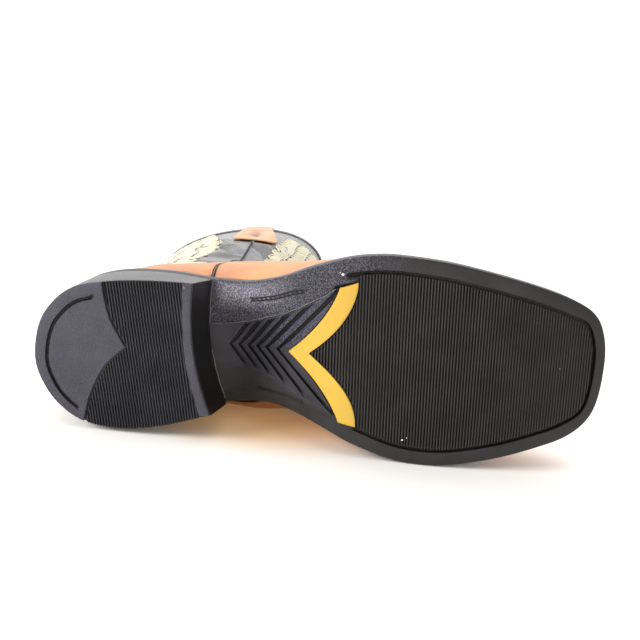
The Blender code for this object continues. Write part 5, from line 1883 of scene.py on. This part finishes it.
def addScallops(leaves, uv, threads, side, panel, forward):  # bows with leaves along a panel's inner edge
    shape = embroideryShape
    step = shape["scallop"]
    for z in np.arange(shape[panel][0][1], panelTop(side, panel, 0.0) - step / 2, step):
        bow = [(t, -forward * shape["scallopBow"] * sin(pi * t)) for t in np.linspace(0, 1, 9)]
        line = [onPanel(side, panel, 0.0, z + step * t, swing) for t, swing in bow]
        threadLine(threads, line, shape["scallopRadius"])
        middle = z + step / 2
        root = (panelAcross(panel, 0.0, middle) + forward * shape["scallopRoot"], middle)
        leafMesh(leaves, uv, side, root, -forward * pi / 2, *shape["scallopLeaf"])


def buildEmbroidery():
    leaves = bmesh.new()
    uv = leaves.loops.layers.uv.new("thread")
    threads = bmesh.new()
    for side in (-1, 1):
        for panel, forward in (("front", 1), ("back", -1)):
            for share, low in embroideryShape[panel]:
                addStem(leaves, uv, threads, side, panel, share, low)
            addScallops(leaves, uv, threads, side, panel, forward)
    finishPiece("shaftLeaves", leaves, [creamSatin], sharp=70)
    finishPiece("shaftStems", threads, [creamThread], sharp=70)


buildStitches()
buildEmbroidery()
print("stitches made")

# stage

stageShape = {
    "floorHalf": 3.0,
    "floorTones": ((0.0, (0.93, 0.9, 0.86)), (1.0, (0.95, 0.925, 0.89))),
    # painted light in the floor: a warm tint and a glow standing in for light thrown back by the tan leather:
    # place in the boot's frame, reach in m, tint and glow
    "glowAt": (118.0, 47.0, 32.0),
    "glowReach": (0.08, 0.048),
    "glowTint": (0.74, 0.55, 0.36),
    "glow": (0.19, 0.1, 0.035),
    # the photo's camera: its place in the boot's frame and its turns
    "eye": (152.2, -98.1, -347.6),
    "lens": 39.375,
    "sensor": 36.0,
    "pitch": 13.0,
    "roll": 1.0,
    # brightness of the sky ahead, and its share in the room behind the camera
    "sky": 1.5,
    "room": 0.34,
}
# name, size, watts, place, aim, colour, seen in reflections
lamps = (
    ("key", (0.5, 0.5), 13.0, (-1.05, -0.62, 0.62), (0.0, -0.12, 0.05), (1.0, 1.0, 1.0), True),
    ("top", (0.9, 0.9), 5.0, (-0.1, 0.45, 1.15), (0.0, 0.0, 0.05), (1.0, 1.0, 1.0), True),
    ("fill", (0.8, 0.3), 1.2, (0.0, -1.0, 0.22), (0.0, -0.1, 0.02), (1.0, 0.86, 0.7), True),
    ("bounce", (0.5, 0.16), 1.6, (-0.05, -0.9, 0.1), (-0.04, -0.1, 0.0), (1.0, 0.84, 0.66), False),
)


def addCamera():
    shape = stageShape
    pitch = radians(shape["pitch"])
    roll = radians(shape["roll"])
    right = Vector((1, 0, 0))
    forward = Vector((0, 0, 1)) * cos(pitch) + Vector((0, 1, 0)) * sin(pitch)
    up = Vector((0, -1, 0)) * cos(pitch) + Vector((0, 0, 1)) * sin(pitch)
    up, right = up * cos(roll) + right * sin(roll), right * cos(roll) - up * sin(roll)
    turn = bootToWorld.to_3x3().normalized()
    axes = Matrix((turn @ right, turn @ up, -(turn @ forward))).transposed().to_4x4()
    camera = bpy.data.cameras.new("photoCamera")
    camera.lens = shape["lens"]
    camera.sensor_width = shape["sensor"]
    camera.clip_start = 0.01
    eye = bpy.data.objects.new("photoCamera", camera)
    eye.matrix_world = Matrix.Translation(bootToWorld @ Vector(shape["eye"])) @ axes
    bpy.context.scene.collection.objects.link(eye)
    bpy.context.scene.camera = eye


def addLight(name, size, energy, at, towards, colour, glossy):
    light = bpy.data.lights.new(name, "AREA")
    light.shape = "RECTANGLE"
    light.size, light.size_y = size
    light.energy = energy
    light.color = colour
    lamp = bpy.data.objects.new(name, light)
    lamp.visible_glossy = glossy
    away = Vector(at) - Vector(towards)
    lamp.matrix_world = Matrix.Translation(Vector(at)) @ away.to_track_quat("Z", "Y").to_matrix().to_4x4()
    bpy.context.scene.collection.objects.link(lamp)


def addFloor():
    bm = bmesh.new()
    bmesh.ops.create_grid(bm, x_segments=1, y_segments=1, size=stageShape["floorHalf"])
    mesh = bpy.data.meshes.new("floor")
    bm.to_mesh(mesh)
    bm.free()
    material, tree, shader = newMaterial("whiteFloor", {"Roughness": 0.7, "Specular IOR Level": 0.2})
    place = objectPlace(tree)
    colour = rampNode(tree, noiseNode(tree, place, 3.0, 2.0)["Fac"], stageShape["floorTones"])
    # painted light: a warm tint and a glow in the floor's own colour around the boot's waist
    glowAt = bootToWorld @ Vector(stageShape["glowAt"])
    wide, deep = stageShape["glowReach"]
    near = addNode(tree, "ShaderNodeMapping", {"vector_type": "TEXTURE"},
                   {"Location": (glowAt.x, glowAt.y, 0.0), "Scale": (wide, deep, 1.0)}, {"Vector": place})
    reach = addNode(tree, "ShaderNodeVectorMath", {"operation": "LENGTH"}, links={0: near.outputs[0]})
    warm = addNode(tree, "ShaderNodeMapRange", {"interpolation_type": "SMOOTHSTEP"},
                   {"From Min": 1.0, "From Max": 0.2}, {"Value": reach.outputs["Value"]}).outputs[0]
    colour = mixColour(tree, warm, colour, stageShape["glowTint"])
    tree.links.new(colour, shader.inputs["Base Color"])
    thrown = mixColour(tree, warm, (0.0, 0.0, 0.0), stageShape["glow"])
    tree.links.new(thrown, shader.inputs["Emission Color"])
    shader.inputs["Emission Strength"].default_value = 1.0
    mesh.materials.append(material)
    floor = bpy.data.objects.new("floor", mesh)
    bpy.context.scene.collection.objects.link(floor)


def addWorld():
    world = bpy.data.worlds.new("studio")
    bpy.context.scene.world = world
    world.use_nodes = True
    tree = world.node_tree
    sky = tree.nodes["Background"]
    place = tree.nodes.new("ShaderNodeTexCoord").outputs["Generated"]
    facing = addNode(tree, "ShaderNodeSeparateXYZ", links={0: place})
    depth = spreadNode(tree, facing.outputs["Y"], 0.5, 1.0)
    dim = (stageShape["room"],) * 3
    tree.links.new(rampNode(tree, depth, ((0.1, dim), (0.62, (1.0, 1.0, 1.0)))), sky.inputs["Color"])
    sky.inputs["Strength"].default_value = stageShape["sky"]


def writeSizes():
    bpy.context.view_layer.update()


addCamera()
addFloor()
addWorld()
for lamp in lamps:
    addLight(*lamp)
bpy.context.scene.view_settings.view_transform = "Standard"
writeSizes()
print("stage set")
